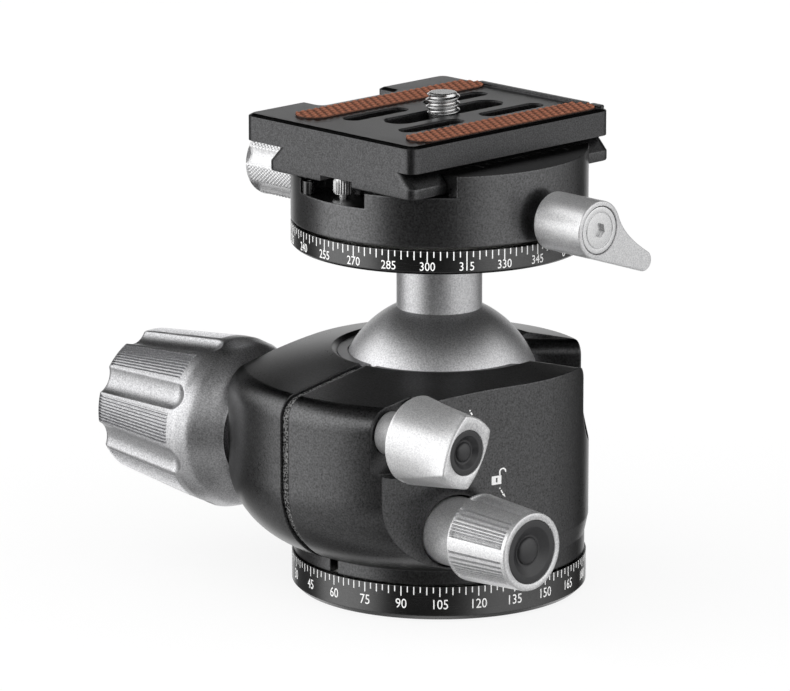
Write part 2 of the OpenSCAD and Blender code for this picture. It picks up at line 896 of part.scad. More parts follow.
// Locking lever: a round hub with a short flat tail
module lever() {
    color([0.8, 0.8, 0.8])
    difference() {
        union() {
            rod_x(hub_start, hub_end, 0, screw_z, hub_r);
            translate([hub_end - tail_t, 0, screw_z])
                rotate([-tail_droop, 0, 0])
                rotate([90, 0, 90])
                linear_extrude(height = tail_t)
                tail_outline();
        }
        rod_x(0, hub_end - 3, 0, screw_z, clamp_screw_r);
        rod_x(hub_end - 1, far, 0, screw_z, hub_r - 0.95);
    }
}

// Bright disc in the lever's hub, the head of its screw
module lever_cap() {
    color("white")
    difference() {
        rod_x(hub_end - 1, hub_end - 0.15, 0, screw_z, hub_r - 0.95);
        translate([hub_end - 0.9, 0, screw_z]) rotate([0, 90, 0]) cylinder(r = 1.45, h = 2, $fn = 6);
    }
}

// Moving jaw, flush with the clamp's round side
module moving_jaw() {
    color([0.1, 0.1, 0.11])
    difference() {
        intersection() {
            turret_drum();
            translate([-far, -far / 2, turret_z + jaw_ledge + run_gap])
                cube([far - jaw_split + 3, far, far]);
        }
        channel_cut();
        translate([-jaw_split, -far / 2, turret_z]) cube([far, far, floor_z - turret_z + plate_gap]);
        translate([-foot_w + 2.5, -far / 2, turret_z]) cube([far, far, far]);
        rod_x(0, -far, 0, screw_z, clamp_screw_r + run_gap);
        for (side = [-1, 1])
            rod_x(0, -guide_pin_to, side * guide_pin_y, screw_z, guide_pin_r - run_gap);
    }
}

module guide_pins() {
    color("silver")
    for (side = [-1, 1])
        rod_x(-guide_pin_from, -guide_pin_to, side * guide_pin_y, screw_z, guide_pin_r - run_gap);
}

module jaw_springs() {
    color("silver")
    for (side = [-1, 1])
        difference() {
            rod_x(-spring_from + face_gap, -jaw_split + 0.3, side * spring_y, screw_z, spring_r);
            rod_x(0, -far, side * spring_y, screw_z, spring_r - spring_wire);
        }
}

module clamp_screw() {
    color("silver")
    rod_x(-retainer_top_r - 1, -knob_start - clamp_knob_len + 3, 0, screw_z, clamp_screw_r);
}

// Knob of the dovetail clamp
module clamp_knob() {
    r = clamp_knob_r;
    color([0.8, 0.8, 0.8])
    difference() {
        turned_back(-turret_r - 0.3, 0, screw_z)
            polygon([[0, 0], [4.2, 0], [4.2, knob_start - turret_r - 0.3],
                [r - 0.5, knob_start - turret_r - 0.3], [r, knob_start - turret_r + 0.2],
                [r, knob_start - turret_r + clamp_knob_len - 0.9],
                [r - 0.6, knob_start - turret_r + clamp_knob_len - 0.3],
                [0, knob_start - turret_r + clamp_knob_len - 0.3]]);
        for (flute = [0:5])
            translate([-knob_start, 0, screw_z])
            rotate([flute * 60 + 15, 0, 0])
            translate([0, 0, r + 2.4])
            rotate([0, -90, 0])
            translate([0, 0, 3])
            cylinder(r = 3, h = clamp_knob_len, $fn = 48);
        rod_x(0, -knob_start - clamp_knob_len + 3, 0, screw_z, clamp_screw_r);
    }
}

// Fine-knurled pin that keeps the plate from sliding out
module stop_pin() {
    color("silver")
    translate([pin_x, pin_y, pocket_z]) {
        cylinder(r = pin_r, h = plate_z + pin_slot_h - 0.4 - pocket_z);
        translate([0, 0, -2]) cylinder(r = pin_shank_r, h = 3);
    }
}

module pin_post() {
    color([0.08, 0.08, 0.08])
    translate([post_x, post_y, pocket_z]) {
        cylinder(r = post_pin_r, h = floor_z - pocket_z - 0.3);
        translate([0, 0, -2]) cylinder(r = post_shank_r, h = 3);
    }
}

// Plan of the plate's top flange, with two ears on the clamp knob's side
module flange_plan() {
    right = foot_w;
    left = -foot_w - plate_ear;
    r = plate_corner;
    half = plate_len / 2;
    difference() {
        union() {
            for (x = [left + r, right - r]) for (y = [-half + r, half - r]) translate([x, y]) circle(r = r);
            translate([left + r, -half]) square([right - left - 2 * r, plate_len]);
            translate([left, -half + r]) square([right - left, plate_len - 2 * r]);
        }
        gap_from = ear_gap_centre - ear_gap / 2;
        depth = plate_ear - ear_gap_floor - r;
        translate([left - 1, gap_from]) square([depth + 1, ear_gap]);
        translate([left - 1, gap_from + r]) square([depth + 1 + r, ear_gap - 2 * r]);
        for (y = [gap_from + r, gap_from + ear_gap - r]) translate([left + depth, y]) circle(r = r);
    }
}

// Rounded slot along Y
module long_slot(x, y0, y1, w, z, h) {
    translate([x, y0 + w / 2, z]) cylinder(r = w / 2, h = h);
    translate([x, y1 - w / 2, z]) cylinder(r = w / 2, h = h);
    translate([x - w / 2, y0 + w / 2, z]) cube([w, y1 - y0 - w, h]);
}

module pad_shape(side, grow, z, h) {
    long_slot(side * pad_x, pad_y - pad_len / 2 - grow, pad_y + pad_len / 2 + grow, pad_w + 2 * grow, z, h);
}

// Quick-release plate: flange, dovetail foot and slots
module camera_plate() {
    half = plate_len / 2;
    color([0.09, 0.09, 0.1])
    difference() {
        union() {
            translate([0, 0, flange_z]) linear_extrude(height = flange_t) flange_plan();
            translate([0, half, 0])
                rotate([90, 0, 0])
                linear_extrude(height = plate_len)
                polygon([[-foot_w, plate_z], [foot_w, plate_z], [foot_w, plate_z + lip_h],
                    [neck_w, flange_z], [neck_w, flange_z + 1], [-neck_w, flange_z + 1],
                    [-neck_w, flange_z], [-foot_w, plate_z + lip_h]]);
            translate([-foot_w + 5, half - strip_w, plate_top]) cube([2 * foot_w - 6.2, strip_w, strip_h]);
        }
        long_slot(0, slot_from, slot_to, slot_w, plate_z - 1, far);
        long_slot(0, slot_from - 3.6, slot_to + 3.6, screw_pocket_w, plate_z - 1, screw_pocket_h + 1);
        translate([pin_slot_x - pin_slot_w / 2, -plate_len, plate_z - 1])
            cube([pin_slot_w, plate_len + pin_slot_end, pin_slot_h + 1]);
        for (side = [-1, 1]) {
            for (centre = side_slot_centres)
                long_slot(side * side_slot_x, centre - side_slot_len / 2, centre + side_slot_len / 2,
                    side_slot_w, plate_z - 1, far);
            pad_shape(side, 0, plate_top - pad_sink, far);
        }
        for (end = [-1, 1]) for (side = [-1, 1])
            translate([side * 9, end * stop_screw_y, plate_z - 1]) cylinder(r = stop_screw_r, h = 4);
    }
}

module rubber_pads() {
    color([0.45, 0.25, 0.17])
    for (side = [-1, 1]) pad_shape(side, 0, plate_top - pad_sink, pad_sink + pad_proud);
}

module stop_screws() {
    color("gray")
    for (end = [-1, 1]) for (side = [-1, 1])
        translate([side * 9, end * stop_screw_y, plate_z]) cylinder(r = stop_screw_r, h = 3);
}

// Clip that keeps the camera screw in its slot
module screw_clip() {
    color("silver")
    translate([0, camera_screw_y, 0])
    ring(screw_head_r, neck_r + run_gap, plate_z + screw_pocket_h - clip_t - face_gap, clip_t);
}

// Camera screw with a wide slotted head
module camera_screw() {
    head_z = plate_z + screw_pocket_h - clip_t - 2 * face_gap - screw_head_h;
    color("silver")
    translate([0, camera_screw_y, 0])
    difference() {
        union() {
            translate([0, 0, head_z]) cylinder(r = screw_head_r, h = screw_head_h);
            translate([0, 0, head_z]) cylinder(r = neck_r, h = plate_top + 1 - head_z);
            translate([0, 0, plate_top + 0.2]) cylinder(r = camera_screw_r, h = camera_screw_h - 0.2);
        }
        translate([-screw_head_r, -0.8, head_z - 1]) cube([2 * screw_head_r, 1.6, 2]);
    }
}

base_ring();
tripod_bush();
pan_spool();
spool_screws();
pan_washer();
pan_retainer();
retainer_screws();
housing();
slit_seal();
rim_ring();
seat_spring();
ball_seat();
clamp_stud();
thrust_washer();
main_knob();
knob_nut();
main_knob_cap();
friction_knob();
friction_screw();
friction_cap();
pan_lock_knob();
pan_lock_screw();
pan_lock_cap();
pan_lock_shoe();
ball_stem();
pan_scale_ring();
turret_hub();
turret_washer();
turret_retainer();
stem_bolt();
turret();
lock_tip();
lever_screw();
lever();
lever_cap();
moving_jaw();
guide_pins();
jaw_springs();
clamp_screw();
clamp_knob();
stop_pin();
pin_post();
camera_plate();
rubber_pads();
stop_screws();
screw_clip();
camera_screw();
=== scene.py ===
import math

import bmesh
import bpy
from mathutils import Matrix, Vector
from mathutils.geometry import tessellate_polygon


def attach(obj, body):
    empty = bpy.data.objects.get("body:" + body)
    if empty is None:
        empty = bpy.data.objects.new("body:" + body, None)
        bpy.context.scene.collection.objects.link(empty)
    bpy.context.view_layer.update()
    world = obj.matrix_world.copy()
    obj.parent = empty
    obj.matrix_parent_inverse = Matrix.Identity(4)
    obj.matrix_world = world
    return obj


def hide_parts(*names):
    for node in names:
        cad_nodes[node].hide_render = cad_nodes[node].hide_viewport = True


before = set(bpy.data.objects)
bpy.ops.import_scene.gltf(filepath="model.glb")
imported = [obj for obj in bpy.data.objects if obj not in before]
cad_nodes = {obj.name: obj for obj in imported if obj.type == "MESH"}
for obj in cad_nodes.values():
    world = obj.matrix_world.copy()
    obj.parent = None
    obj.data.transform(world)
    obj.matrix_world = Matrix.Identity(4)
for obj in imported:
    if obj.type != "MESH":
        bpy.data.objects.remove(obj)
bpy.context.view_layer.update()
MM = 0.001
X, Z = Vector((1, 0, 0)), Vector((0, 0, 1))


# ---- Tripod bush, screws and other turned steel ------------------------------------------
# The threaded bush, the screws, studs, washers and springs inside the head are plain steel,
# turned on a lathe. Fine tool marks run round them, and handling leaves a few dull patches.
class Shade:
    """A value, colour or vector in a node tree, written in plain arithmetic."""

    def __init__(self, tree, socket=None):
        self.tree = tree
        self.socket = socket

    def node(self, kind, settings=(), inputs=(), out=0):
        made = self.tree.nodes.new("ShaderNode" + kind)
        for name, value in dict(settings).items():
            if name == "stops":
                ramp = made.color_ramp
                while len(ramp.elements) < len(value):
                    ramp.elements.new(1)
                for element, (place, tone) in zip(ramp.elements, value):
                    element.position = place
                    element.color = (tone, tone, tone, 1)
            else:
                setattr(made, name, value)
        for name, value in dict(inputs).items():
            if isinstance(value, Shade):
                self.tree.links.new(value.socket, made.inputs[name])
            else:
                made.inputs[name].default_value = value
        return Shade(self.tree, made.outputs[out])

    def maths(self, operation, first, second=0.0):
        return self.node("Math", {"operation": operation}, {0: first, 1: second})

    def __add__(self, other):
        return self.maths("ADD", self, other)

    def __sub__(self, other):
        return self.maths("SUBTRACT", self, other)

    def __rsub__(self, other):
        return self.maths("SUBTRACT", other, self)

    def __mul__(self, other):
        return self.maths("MULTIPLY", self, other)

    __radd__ = __add__
    __rmul__ = __mul__

    def tint(self, low, high):
        """Colour from low to high as this value goes from 0 to 1."""
        return self.node("Mix", {"data_type": "RGBA"}, {0: self, 6: (*low, 1), 7: (*high, 1)}, 2)

    def ramp(self, *stops):
        return self.node("ValToRGB", {"stops": stops}, {0: self})

    def place_mm(self, stretch=(1, 1, 1)):
        """The point on the piece in millimetres, in the piece's own frame."""
        own = self.node("TexCoord", out=3)
        factors = tuple(1000 * s for s in stretch)
        return self.node("VectorMath", {"operation": "MULTIPLY"}, {0: own, 1: factors})

    def noise(self, place, scale, detail=2.0):
        return self.node("TexNoise", {}, {"Vector": place, "Scale": scale, "Detail": detail})

    def raised(self, height, depth_mm, under=None):
        """Normal of a surface that this height, from 0 to 1, lifts by depth_mm."""
        inputs = {"Height": height, "Distance": depth_mm * MM, "Strength": 1.0}
        if under is not None:
            inputs["Normal"] = under
        return self.node("Bump", {}, inputs)

    def eased_edges(self, radius_mm):
        return self.node("Bevel", {"samples": 6}, {"Radius": radius_mm * MM})


def new_finish(name, write, **fixed):
    """Material from a function that returns what varies, and from fixed values for the rest."""
    material = bpy.data.materials.new(name)
    material.use_nodes = True
    tree = material.node_tree
    tree.nodes.clear()
    shader = tree.nodes.new("ShaderNodeBsdfPrincipled")
    output = tree.nodes.new("ShaderNodeOutputMaterial")
    tree.links.new(shader.outputs[0], output.inputs[0])
    for socket, value in fixed.items():
        shader.inputs[socket.replace("_", " ")].default_value = value
    for socket, value in write(Shade(tree)).items():
        tree.links.new(value.socket, shader.inputs[socket])
    return material


def turned_metal(dark, light, stretch):
    """Fine tool marks round the axis along which the noise is not stretched."""
    def write(s):
        marks = s.noise(s.place_mm(stretch), 1.0, 4.0)
        patches = s.noise(s.place_mm(), 0.35, 3.0)
        return {
            "Base Color": (marks * 0.6 + patches * 0.4).tint(dark, light),
            "Roughness": 0.22 + patches * 0.16 + marks * 0.1,
            "Normal": s.raised(marks, 0.01, s.eased_edges(0.12)),
        }
    return write


def dress(finish, *names):
    """Gives CAD nodes their finish in place of the plain one they came with."""
    for name in names:
        materials = cad_nodes[name].data.materials
        materials.clear()
        materials.append(finish)


steel_upright = new_finish(
    "steel_turned_upright", turned_metal((0.4, 0.4, 0.41), (0.62, 0.62, 0.63), (0.3, 0.3, 14)),
    Metallic=1.0)
steel_level = new_finish(
    "steel_turned_level", turned_metal((0.4, 0.4, 0.41), (0.62, 0.62, 0.63), (14, 0.3, 0.3)),
    Metallic=1.0)
dress(steel_upright, "tripod_bush", "spool_screws", "pan_retainer", "retainer_screws", "seat_spring",
      "turret_retainer", "stem_bolt", "stop_screws", "screw_clip")
dress(steel_level, "clamp_stud", "thrust_washer", "friction_screw", "pan_lock_screw", "lever_screw",
      "guide_pins", "jaw_springs", "clamp_screw")


# ---- Bearing spool, nut and other brass ---------------------------------------------------
# The spool that the housing turns on, the nut in the main knob, the lock's shoe and tip, and
# the hub of the panning top are turned brass that has dulled a little in patches.
brass_upright = new_finish(
    "brass_turned_upright", turned_metal((0.5, 0.35, 0.13), (0.74, 0.56, 0.26), (0.3, 0.3, 12)),
    Metallic=1.0)
brass_level = new_finish(
    "brass_turned_level", turned_metal((0.5, 0.35, 0.13), (0.74, 0.56, 0.26), (12, 0.3, 0.3)),
    Metallic=1.0)
dress(brass_upright, "pan_spool", "turret_hub")
dress(brass_level, "knob_nut", "pan_lock_shoe", "lock_tip")


# ---- Washers and ball seat ----------------------------------------------------------------
# Low-friction plastic: the two panning washers and the seat under the ball. Milky white,
# slightly waxy, with faint cloudiness and a fine moulded grain.
def waxy_plastic(s):
    cloud = s.noise(s.place_mm(), 0.4, 4.0)
    grain = s.noise(s.place_mm(), 5.0)
    return {
        "Base Color": cloud.tint((0.74, 0.73, 0.68), (0.86, 0.85, 0.81)),
        "Roughness": 0.42 + grain * 0.14,
        "Normal": s.raised(grain, 0.006, s.eased_edges(0.1)),
    }


dress(new_finish("waxy_plastic", waxy_plastic), "pan_washer", "turret_washer", "ball_seat")


# ---- Graduated base disc ------------------------------------------------------------------
# Black anodised aluminium disc, turned on a lathe, so very fine rings run round its wall and
# its underside. It is screwed to the spool and does not turn with the housing.
def black_turned(s):
    rings = s.noise(s.place_mm((0.15, 0.15, 16)), 1.0, 3.0)
    grain = s.noise(s.place_mm(), 4.5)
    cloud = s.noise(s.place_mm(), 0.15, 3.0)
    return {
        "Base Color": (grain * 0.7 + cloud * 0.3).tint((0.06, 0.06, 0.06), (0.16, 0.16, 0.16)),
        "Roughness": 0.2 + cloud * 0.06 + rings * 0.06,
        "Normal": s.raised(rings * 0.6 + grain * 0.4, 0.005, s.eased_edges(0.25)),
    }


black_turned_finish = new_finish("black_turned", black_turned, Metallic=1.0)
dress(black_turned_finish, "base_ring")


# ---- Degrees round the base ---------------------------------------------------------------
# White numbers and ticks engraved in the disc's wall and filled with paint: a number each 15
# degrees, a tick each 2.5. Each mark is a thin inlay with its own edges.
def white_paint(s):
    grain = s.noise(s.place_mm(), 7.0, 3.0)
    return {
        "Base Color": grain.tint((0.8, 0.8, 0.8), (0.95, 0.95, 0.94)),
        "Roughness": 0.5 + grain * 0.15,
        "Normal": s.raised(grain, 0.004),
    }


paint_finish = new_finish("white_paint", white_paint)


def add_piece(name, verts, faces, finish, body, replaced=(), slot=None, sharp=32, normals=True):
    """Closed mesh in millimetres as a piece that rides on a body."""
    mesh = bpy.data.meshes.new(name)
    mesh.from_pydata([tuple(c * MM for c in v) for v in verts], [], faces)
    tidy = bmesh.new()
    tidy.from_mesh(mesh)
    bmesh.ops.remove_doubles(tidy, verts=tidy.verts, dist=1e-7)
    bmesh.ops.recalc_face_normals(tidy, faces=tidy.faces)
    tidy.to_mesh(mesh)
    tidy.free()
    mesh.polygons.foreach_set("use_smooth", [True] * len(mesh.polygons))
    mesh.set_sharp_from_angle(angle=math.radians(sharp))
    mesh.materials.append(finish)
    piece = bpy.data.objects.new(name, mesh)
    bpy.context.scene.collection.objects.link(piece)
    if normals:
        piece.modifiers.new("even_normals", "WEIGHTED_NORMAL").keep_sharp = True
    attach(piece, body)
    if replaced:
        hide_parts(*replaced)
    return piece


def block(across, up, out, centre, size):
    """Verts and faces of a small box with its own axes."""
    verts = [centre + across * a * size[0] / 2 + up * b * size[1] / 2 + out * c * size[2] / 2
             for a in (-1, 1) for b in (-1, 1) for c in (-1, 1)]
    faces = [(0, 1, 3, 2), (4, 6, 7, 5), (0, 4, 5, 1), (2, 3, 7, 6), (0, 2, 6, 4), (1, 5, 7, 3)]
    return verts, faces


def figure_mesh(words, height, squeeze):
    """Flat solid figures in millimetres, centred on x and y. Their depth runs from -1 to 1."""
    curve = bpy.data.curves.new("figure", "FONT")
    curve.body = words
    curve.align_x = "CENTER"
    curve.align_y = "CENTER"
    curve.size = 1.0
    curve.resolution_u = 3
    curve.extrude = 0.5
    text = bpy.data.objects.new("figure", curve)
    mesh = bpy.data.meshes.new_from_object(text)
    low = min(v.co.y for v in mesh.vertices)
    high = max(v.co.y for v in mesh.vertices)
    scale = height / (high - low)
    verts = [(v.co.x * scale * squeeze, (v.co.y - (low + high) / 2) * scale, v.co.z * 2)
             for v in mesh.vertices]
    faces = [tuple(p.vertices) for p in mesh.polygons]
    bpy.data.objects.remove(text)
    bpy.data.curves.remove(curve)
    bpy.data.meshes.remove(mesh)
    return verts, faces


disc_r, base_top = 27.5, 6.35
degrees_per_tick, ticks_per_number, tick_width = 2.5, 6, 0.2
figure_squeeze, mark_proud, mark_sunk = 0.86, 0.02, 0.05


def degree_scale(name, body, top, zero_at, ticks, figures_z, figure_height):
    """Numbers and ticks round the wall of a disc, from zero_at on, towards +Y seen from +X.
    ticks gives their lengths: at a number, at each second tick and at the rest."""
    verts, faces = [], []

    def add(more_verts, more_faces):
        start = len(verts)
        verts.extend(more_verts)
        faces.extend(tuple(start + i for i in f) for f in more_faces)

    middle, thick = disc_r + (mark_proud - mark_sunk) / 2, mark_proud + mark_sunk
    for step in range(round(360 / degrees_per_tick)):
        degrees = step * degrees_per_tick
        angle = math.radians(zero_at + degrees)
        out = Vector((math.cos(angle), math.sin(angle), 0))
        numbered = step % ticks_per_number == 0
        length = ticks[0] if numbered else ticks[1] if step % 2 == 0 else ticks[2]
        centre = out * middle + Z * (top - length / 2)
        add(*block(Z.cross(out), Z, out, centre, (tick_width, length, thick)))
        if numbered:
            flat, more = figure_mesh(str(int(degrees)), figure_height, figure_squeeze)
            bent = []
            for x, y, depth in flat:
                turn = angle + x / disc_r
                r = middle + depth * thick / 2
                bent.append(Vector((r * math.cos(turn), r * math.sin(turn), figures_z + y)))
            add(bent, more)
    return add_piece(name, verts, faces, paint_finish, body, slot="dial_black", sharp=20,
                     normals=False)


degree_scale("base_degrees", "base", top=base_top, zero_at=-149.3, ticks=(1.8, 1.5, 1.1), figures_z=3.1,
             figure_height=1.8)


# ---- Split housing ------------------------------------------------------------------------
# One piece of milled aluminium with two clamping ears, bead blasted and anodised black. Its
# sharp edges are eased a little, which catches the light as a thin line.
def blasted_black(dark, light, rough):
    def write(s):
        grain = s.noise(s.place_mm(), 3.0, 3.0).ramp((0.3, 0.0), (0.7, 1.0))
        cloud = s.noise(s.place_mm(), 0.09, 2.0)
        return {
            "Base Color": (grain * 0.85 + cloud * 0.15).tint((dark, dark, dark),
                                                             (light, light, light * 1.02)),
            "Roughness": rough + grain * 0.05 + cloud * 0.05,
            "Normal": s.raised(grain, 0.002, s.eased_edges(0.45)),
        }
    return write


dress(new_finish("black_blasted", blasted_black(dark=0.055, light=0.14, rough=0.25), Metallic=1.0),
      "housing")


# ---- Marks on the housing -----------------------------------------------------------------
# White painted marks beside the two small knobs: an open padlock with a dashed arrow that
# shows which way releases the base, and two dashes under the rim. They follow the surface.
def inlay(name, body, shapes, on_surface, finish, slot, proud=mark_proud, sunk=mark_sunk):
    """Thin closed slabs from flat outlines in millimetres, laid on a surface. on_surface gives
    the point and the outward direction for flat coordinates."""
    verts, faces = [], []
    for shape in shapes:
        start, count = len(verts), len(shape)
        for lift in (-sunk, proud):
            for x, y in shape:
                point, out = on_surface(x, y)
                verts.append(point + out * lift)
        for k in range(count):
            n = (k + 1) % count
            faces.append((start + k, start + n, start + count + n, start + count + k))
        for tri in tessellate_polygon([[Vector((x, y, 0)) for x, y in shape]]):
            faces.append(tuple(start + i for i in tri))
            faces.append(tuple(start + count + i for i in tri))
    return add_piece(name, verts, faces, finish, body, slot=slot, sharp=20, normals=False)


housing_r, outside_r = 27.9, 60.0


def on_housing(bearing, level):
    """Flat coordinates near a point of the housing's wall, x round it and y up."""
    def place(x, y):
        turn = math.radians(bearing) + x / housing_r
        out = Vector((math.cos(turn), math.sin(turn), 0))
        start = out * outside_r + Z * (level + y)
        return cad_nodes["housing"].ray_cast(start * MM, -out)[1] / MM, out
    return place


def bar(x0, y0, x1, y1, wide):
    """Outline of a straight stroke."""
    along = Vector((x1 - x0, y1 - y0)).normalized()
    side = Vector((-along.y, along.x)) * wide / 2
    return [(x0 + side.x, y0 + side.y), (x0 - side.x, y0 - side.y), (x1 - side.x, y1 - side.y),
            (x1 + side.x, y1 + side.y)]


def bow(x, y, r, wide, first, last, steps=14):
    """Outline of a curved stroke."""
    turns = [math.radians(first + (last - first) * k / steps) for k in range(steps + 1)]
    outer, inner = r + wide / 2, r - wide / 2
    return ([(x + outer * math.cos(a), y + outer * math.sin(a)) for a in turns]
            + [(x + inner * math.cos(a), y + inner * math.sin(a)) for a in reversed(turns)])


padlock = [[(-1.0, -0.82), (-0.14, -0.82), (-0.14, 0.8), (-1.0, 0.8)],
           [(0.2, -0.82), (1.0, -0.82), (1.0, 0.8), (0.2, 0.8)],
           [(-0.135, 0.42), (0.195, 0.42), (0.195, 0.8), (-0.135, 0.8)],
           [(-0.135, -0.82), (0.195, -0.82), (0.195, -0.42), (-0.135, -0.42)],
           bow(1.28, 1.42, 0.62, 0.27, -8, 196), bar(0.68, 0.75, 0.68, 1.3, 0.27)]
arrow = [bar(0.66, -1.5, 0.78, -1.72, 0.24), bar(0.95, -2.0, 1.3, -2.65, 0.26),
         [(1.15, -2.85), (1.62, -2.7), (1.9, -3.5)]]
dashes = [bar(0.0, 0.12, 0.1, -0.1, 0.26), bar(0.2, -0.38, 0.48, -0.86, 0.28)]
by_pan_lock, by_rim = on_housing(bearing=-22.9, level=26.35), on_housing(bearing=-33.9, level=40.15)
inlay("padlock_mark", "housing", padlock, by_pan_lock, paint_finish, "dial_black")
inlay("arrow_mark", "housing", arrow, by_pan_lock, paint_finish, "dial_black")
inlay("upper_dashes", "housing", dashes, by_rim, paint_finish, "dial_black")


# ---- Strip in the slit --------------------------------------------------------------------
# Rough black foam rubber that fills the clamping slit a little below the surface. Its open
# cells leave it pitted, with light specks where they are cut.
def foam_rubber(s):
    cells = s.node("TexVoronoi", {}, {"Vector": s.place_mm(), "Scale": 2.6})
    dust = s.noise(s.place_mm(), 3.0, 4.0)
    specks = (cells * 0.8 + dust * 0.4).ramp((0.45, 0.0), (0.8, 1.0))
    return {
        "Base Color": specks.tint((0.002, 0.002, 0.002), (0.2, 0.2, 0.2)),
        "Roughness": 0.7 + dust * 0.25,
        "Normal": s.raised(cells * 0.7 + dust * 0.5, 0.35),
    }


dress(new_finish("foam_rubber", foam_rubber), "slit_seal")


# ---- Ring in the rim ----------------------------------------------------------------------
# Thin grey ring pressed in the mouth of the socket, which keeps dust off the ball.
dress(steel_upright, "rim_ring")


# ---- Ball and stem ------------------------------------------------------------------------
# Ball and stem turned from one bar of aluminium, bead blasted so that they look like fine
# frosted silver. The stem leaves the ball at a crisp step.
def frosted(dark, light, rough, depth, scale=2.4):
    def write(s):
        grain = s.noise(s.place_mm(), scale, 3.0).ramp((0.32, 0.0), (0.68, 1.0))
        cloud = s.noise(s.place_mm(), 0.12, 3.0)
        return {
            "Base Color": (grain * 0.9 + cloud * 0.1).tint(dark, light),
            "Roughness": rough + grain * 0.06 + cloud * 0.03,
            "Normal": s.raised(grain, depth),
        }
    return write


def eased(outline, steps=4):
    """Outline of (radius, distance) corners. A third number rounds the corner by that radius."""
    points = []
    for i, corner in enumerate(outline):
        if len(corner) == 2:
            points.append(tuple(corner))
            continue
        here = Vector(corner[:2])
        back = (Vector(outline[i - 1][:2]) - here).normalized()
        on = (Vector(outline[(i + 1) % len(outline)][:2]) - here).normalized()
        half = back.angle(on) / 2
        centre = here + (back + on).normalized() * corner[2] / math.sin(half)
        first = here + back * corner[2] / math.tan(half) - centre
        last = here + on * corner[2] / math.tan(half) - centre
        for k in range(steps + 1):
            share = k / steps
            sweep = first.angle(last)
            mix = first * math.sin((1 - share) * sweep) + last * math.sin(share * sweep)
            points.append(tuple(centre + mix / math.sin(sweep)))
    return points


def turned(outline, place, along, start=None, around=128, cut=None, closed=False):
    """Verts and faces of a turned piece. outline is (radius, distance along the axis); cut gives
    the radius that is left at an angle. A closed outline does not touch the axis."""
    along = Vector(along)
    u = Vector(start) if start else (Z if abs(along.z) < 0.5 else X)
    v = along.cross(u)
    angles = around if isinstance(around, (list, tuple)) else [360 * k / around for k in range(around)]
    verts, faces, rings = [], [], []
    for r, d in outline:
        if r < 1e-6:
            rings.append([len(verts)] * len(angles))
            verts.append(Vector(place) + along * d)
            continue
        rings.append(list(range(len(verts), len(verts) + len(angles))))
        for angle in angles:
            left = cut(angle, r, d) if cut else r
            turn = math.radians(angle)
            verts.append(Vector(place) + along * d + (u * math.cos(turn) + v * math.sin(turn)) * left)
    pairs = list(zip(rings, rings[1:]))
    if closed:
        pairs.append((rings[-1], rings[0]))
    count = len(angles)
    for low, high in pairs:
        for k in range(count):
            n = (k + 1) % count
            corners = []
            for i in (low[k], low[n], high[n], high[k]):
                if i not in corners:
                    corners.append(i)
            if len(corners) > 2:
                faces.append(tuple(corners))
    return verts, faces


def arc(centre, radius, first, last, steps):
    """Points on an arc in the (radius, distance) plane, angles in degrees from the radius axis."""
    return [(centre[0] + radius * math.cos(math.radians(first + (last - first) * k / steps)),
             centre[1] + radius * math.sin(math.radians(first + (last - first) * k / steps)))
            for k in range(steps + 1)]


ball_r, ball_z, ball_flat = 19.0, 35.6, 18.5
stem_r, stem_top, stem_chamfer = 7.95, 65.0, 0.35
spigot_r, spigot_top, bolt_hole_r, bolt_hole_floor = 5.5, 68.9, 3.0, 51.0
ball_finish = new_finish(
    "frosted_ball", frosted((0.45, 0.45, 0.46), (0.78, 0.78, 0.79), rough=0.38, depth=0.008, scale=3.6),
    Metallic=1.0)
to_stem = math.degrees(math.acos(stem_r / ball_r))
bottom = math.degrees(math.asin(ball_flat / ball_r))
ball_outline = (
    [(0, ball_z - ball_flat)]
    + arc((0, ball_z), ball_r, -bottom, to_stem, 72)
    + eased([(stem_r, ball_z + ball_r * math.sin(math.radians(to_stem)) + 0.05),
             (stem_r, stem_top - stem_chamfer, 0.3), (stem_r - stem_chamfer, stem_top, 0.1),
             (spigot_r, stem_top)])
    + [(spigot_r, spigot_top), (bolt_hole_r, spigot_top), (bolt_hole_r, bolt_hole_floor),
       (0, bolt_hole_floor)])
add_piece("ball_and_stem", *turned(ball_outline, (0, 0, 0), Z, around=192), ball_finish, "ball",
          ["ball_stem"], "ball_silver")


# ---- Upper graduated ring -----------------------------------------------------------------
# Black anodised ring fixed to the top of the stem, with its own degrees. The panning top
# turns over it with a thin shadow gap between them.
ring_top, ring_chamfer = 69.4, 0.45
ring_outline = eased([
    (bolt_hole_r, spigot_top), (spigot_r, spigot_top), (spigot_r, stem_top),
    (disc_r - ring_chamfer, stem_top, 0.2), (disc_r, stem_top + ring_chamfer, 0.2), (disc_r, ring_top, 0.25),
    (bolt_hole_r, ring_top)])
add_piece("upper_scale_ring", *turned(ring_outline, (0, 0, 0), Z, around=192, closed=True),
          black_turned_finish, "ball", ["pan_scale_ring"], "dial_black")
degree_scale("upper_degrees", "ball", top=ring_top - 0.1, zero_at=-349.3, ticks=(1.9, 1.6, 1.07),
             figures_z=66.55, figure_height=1.6)


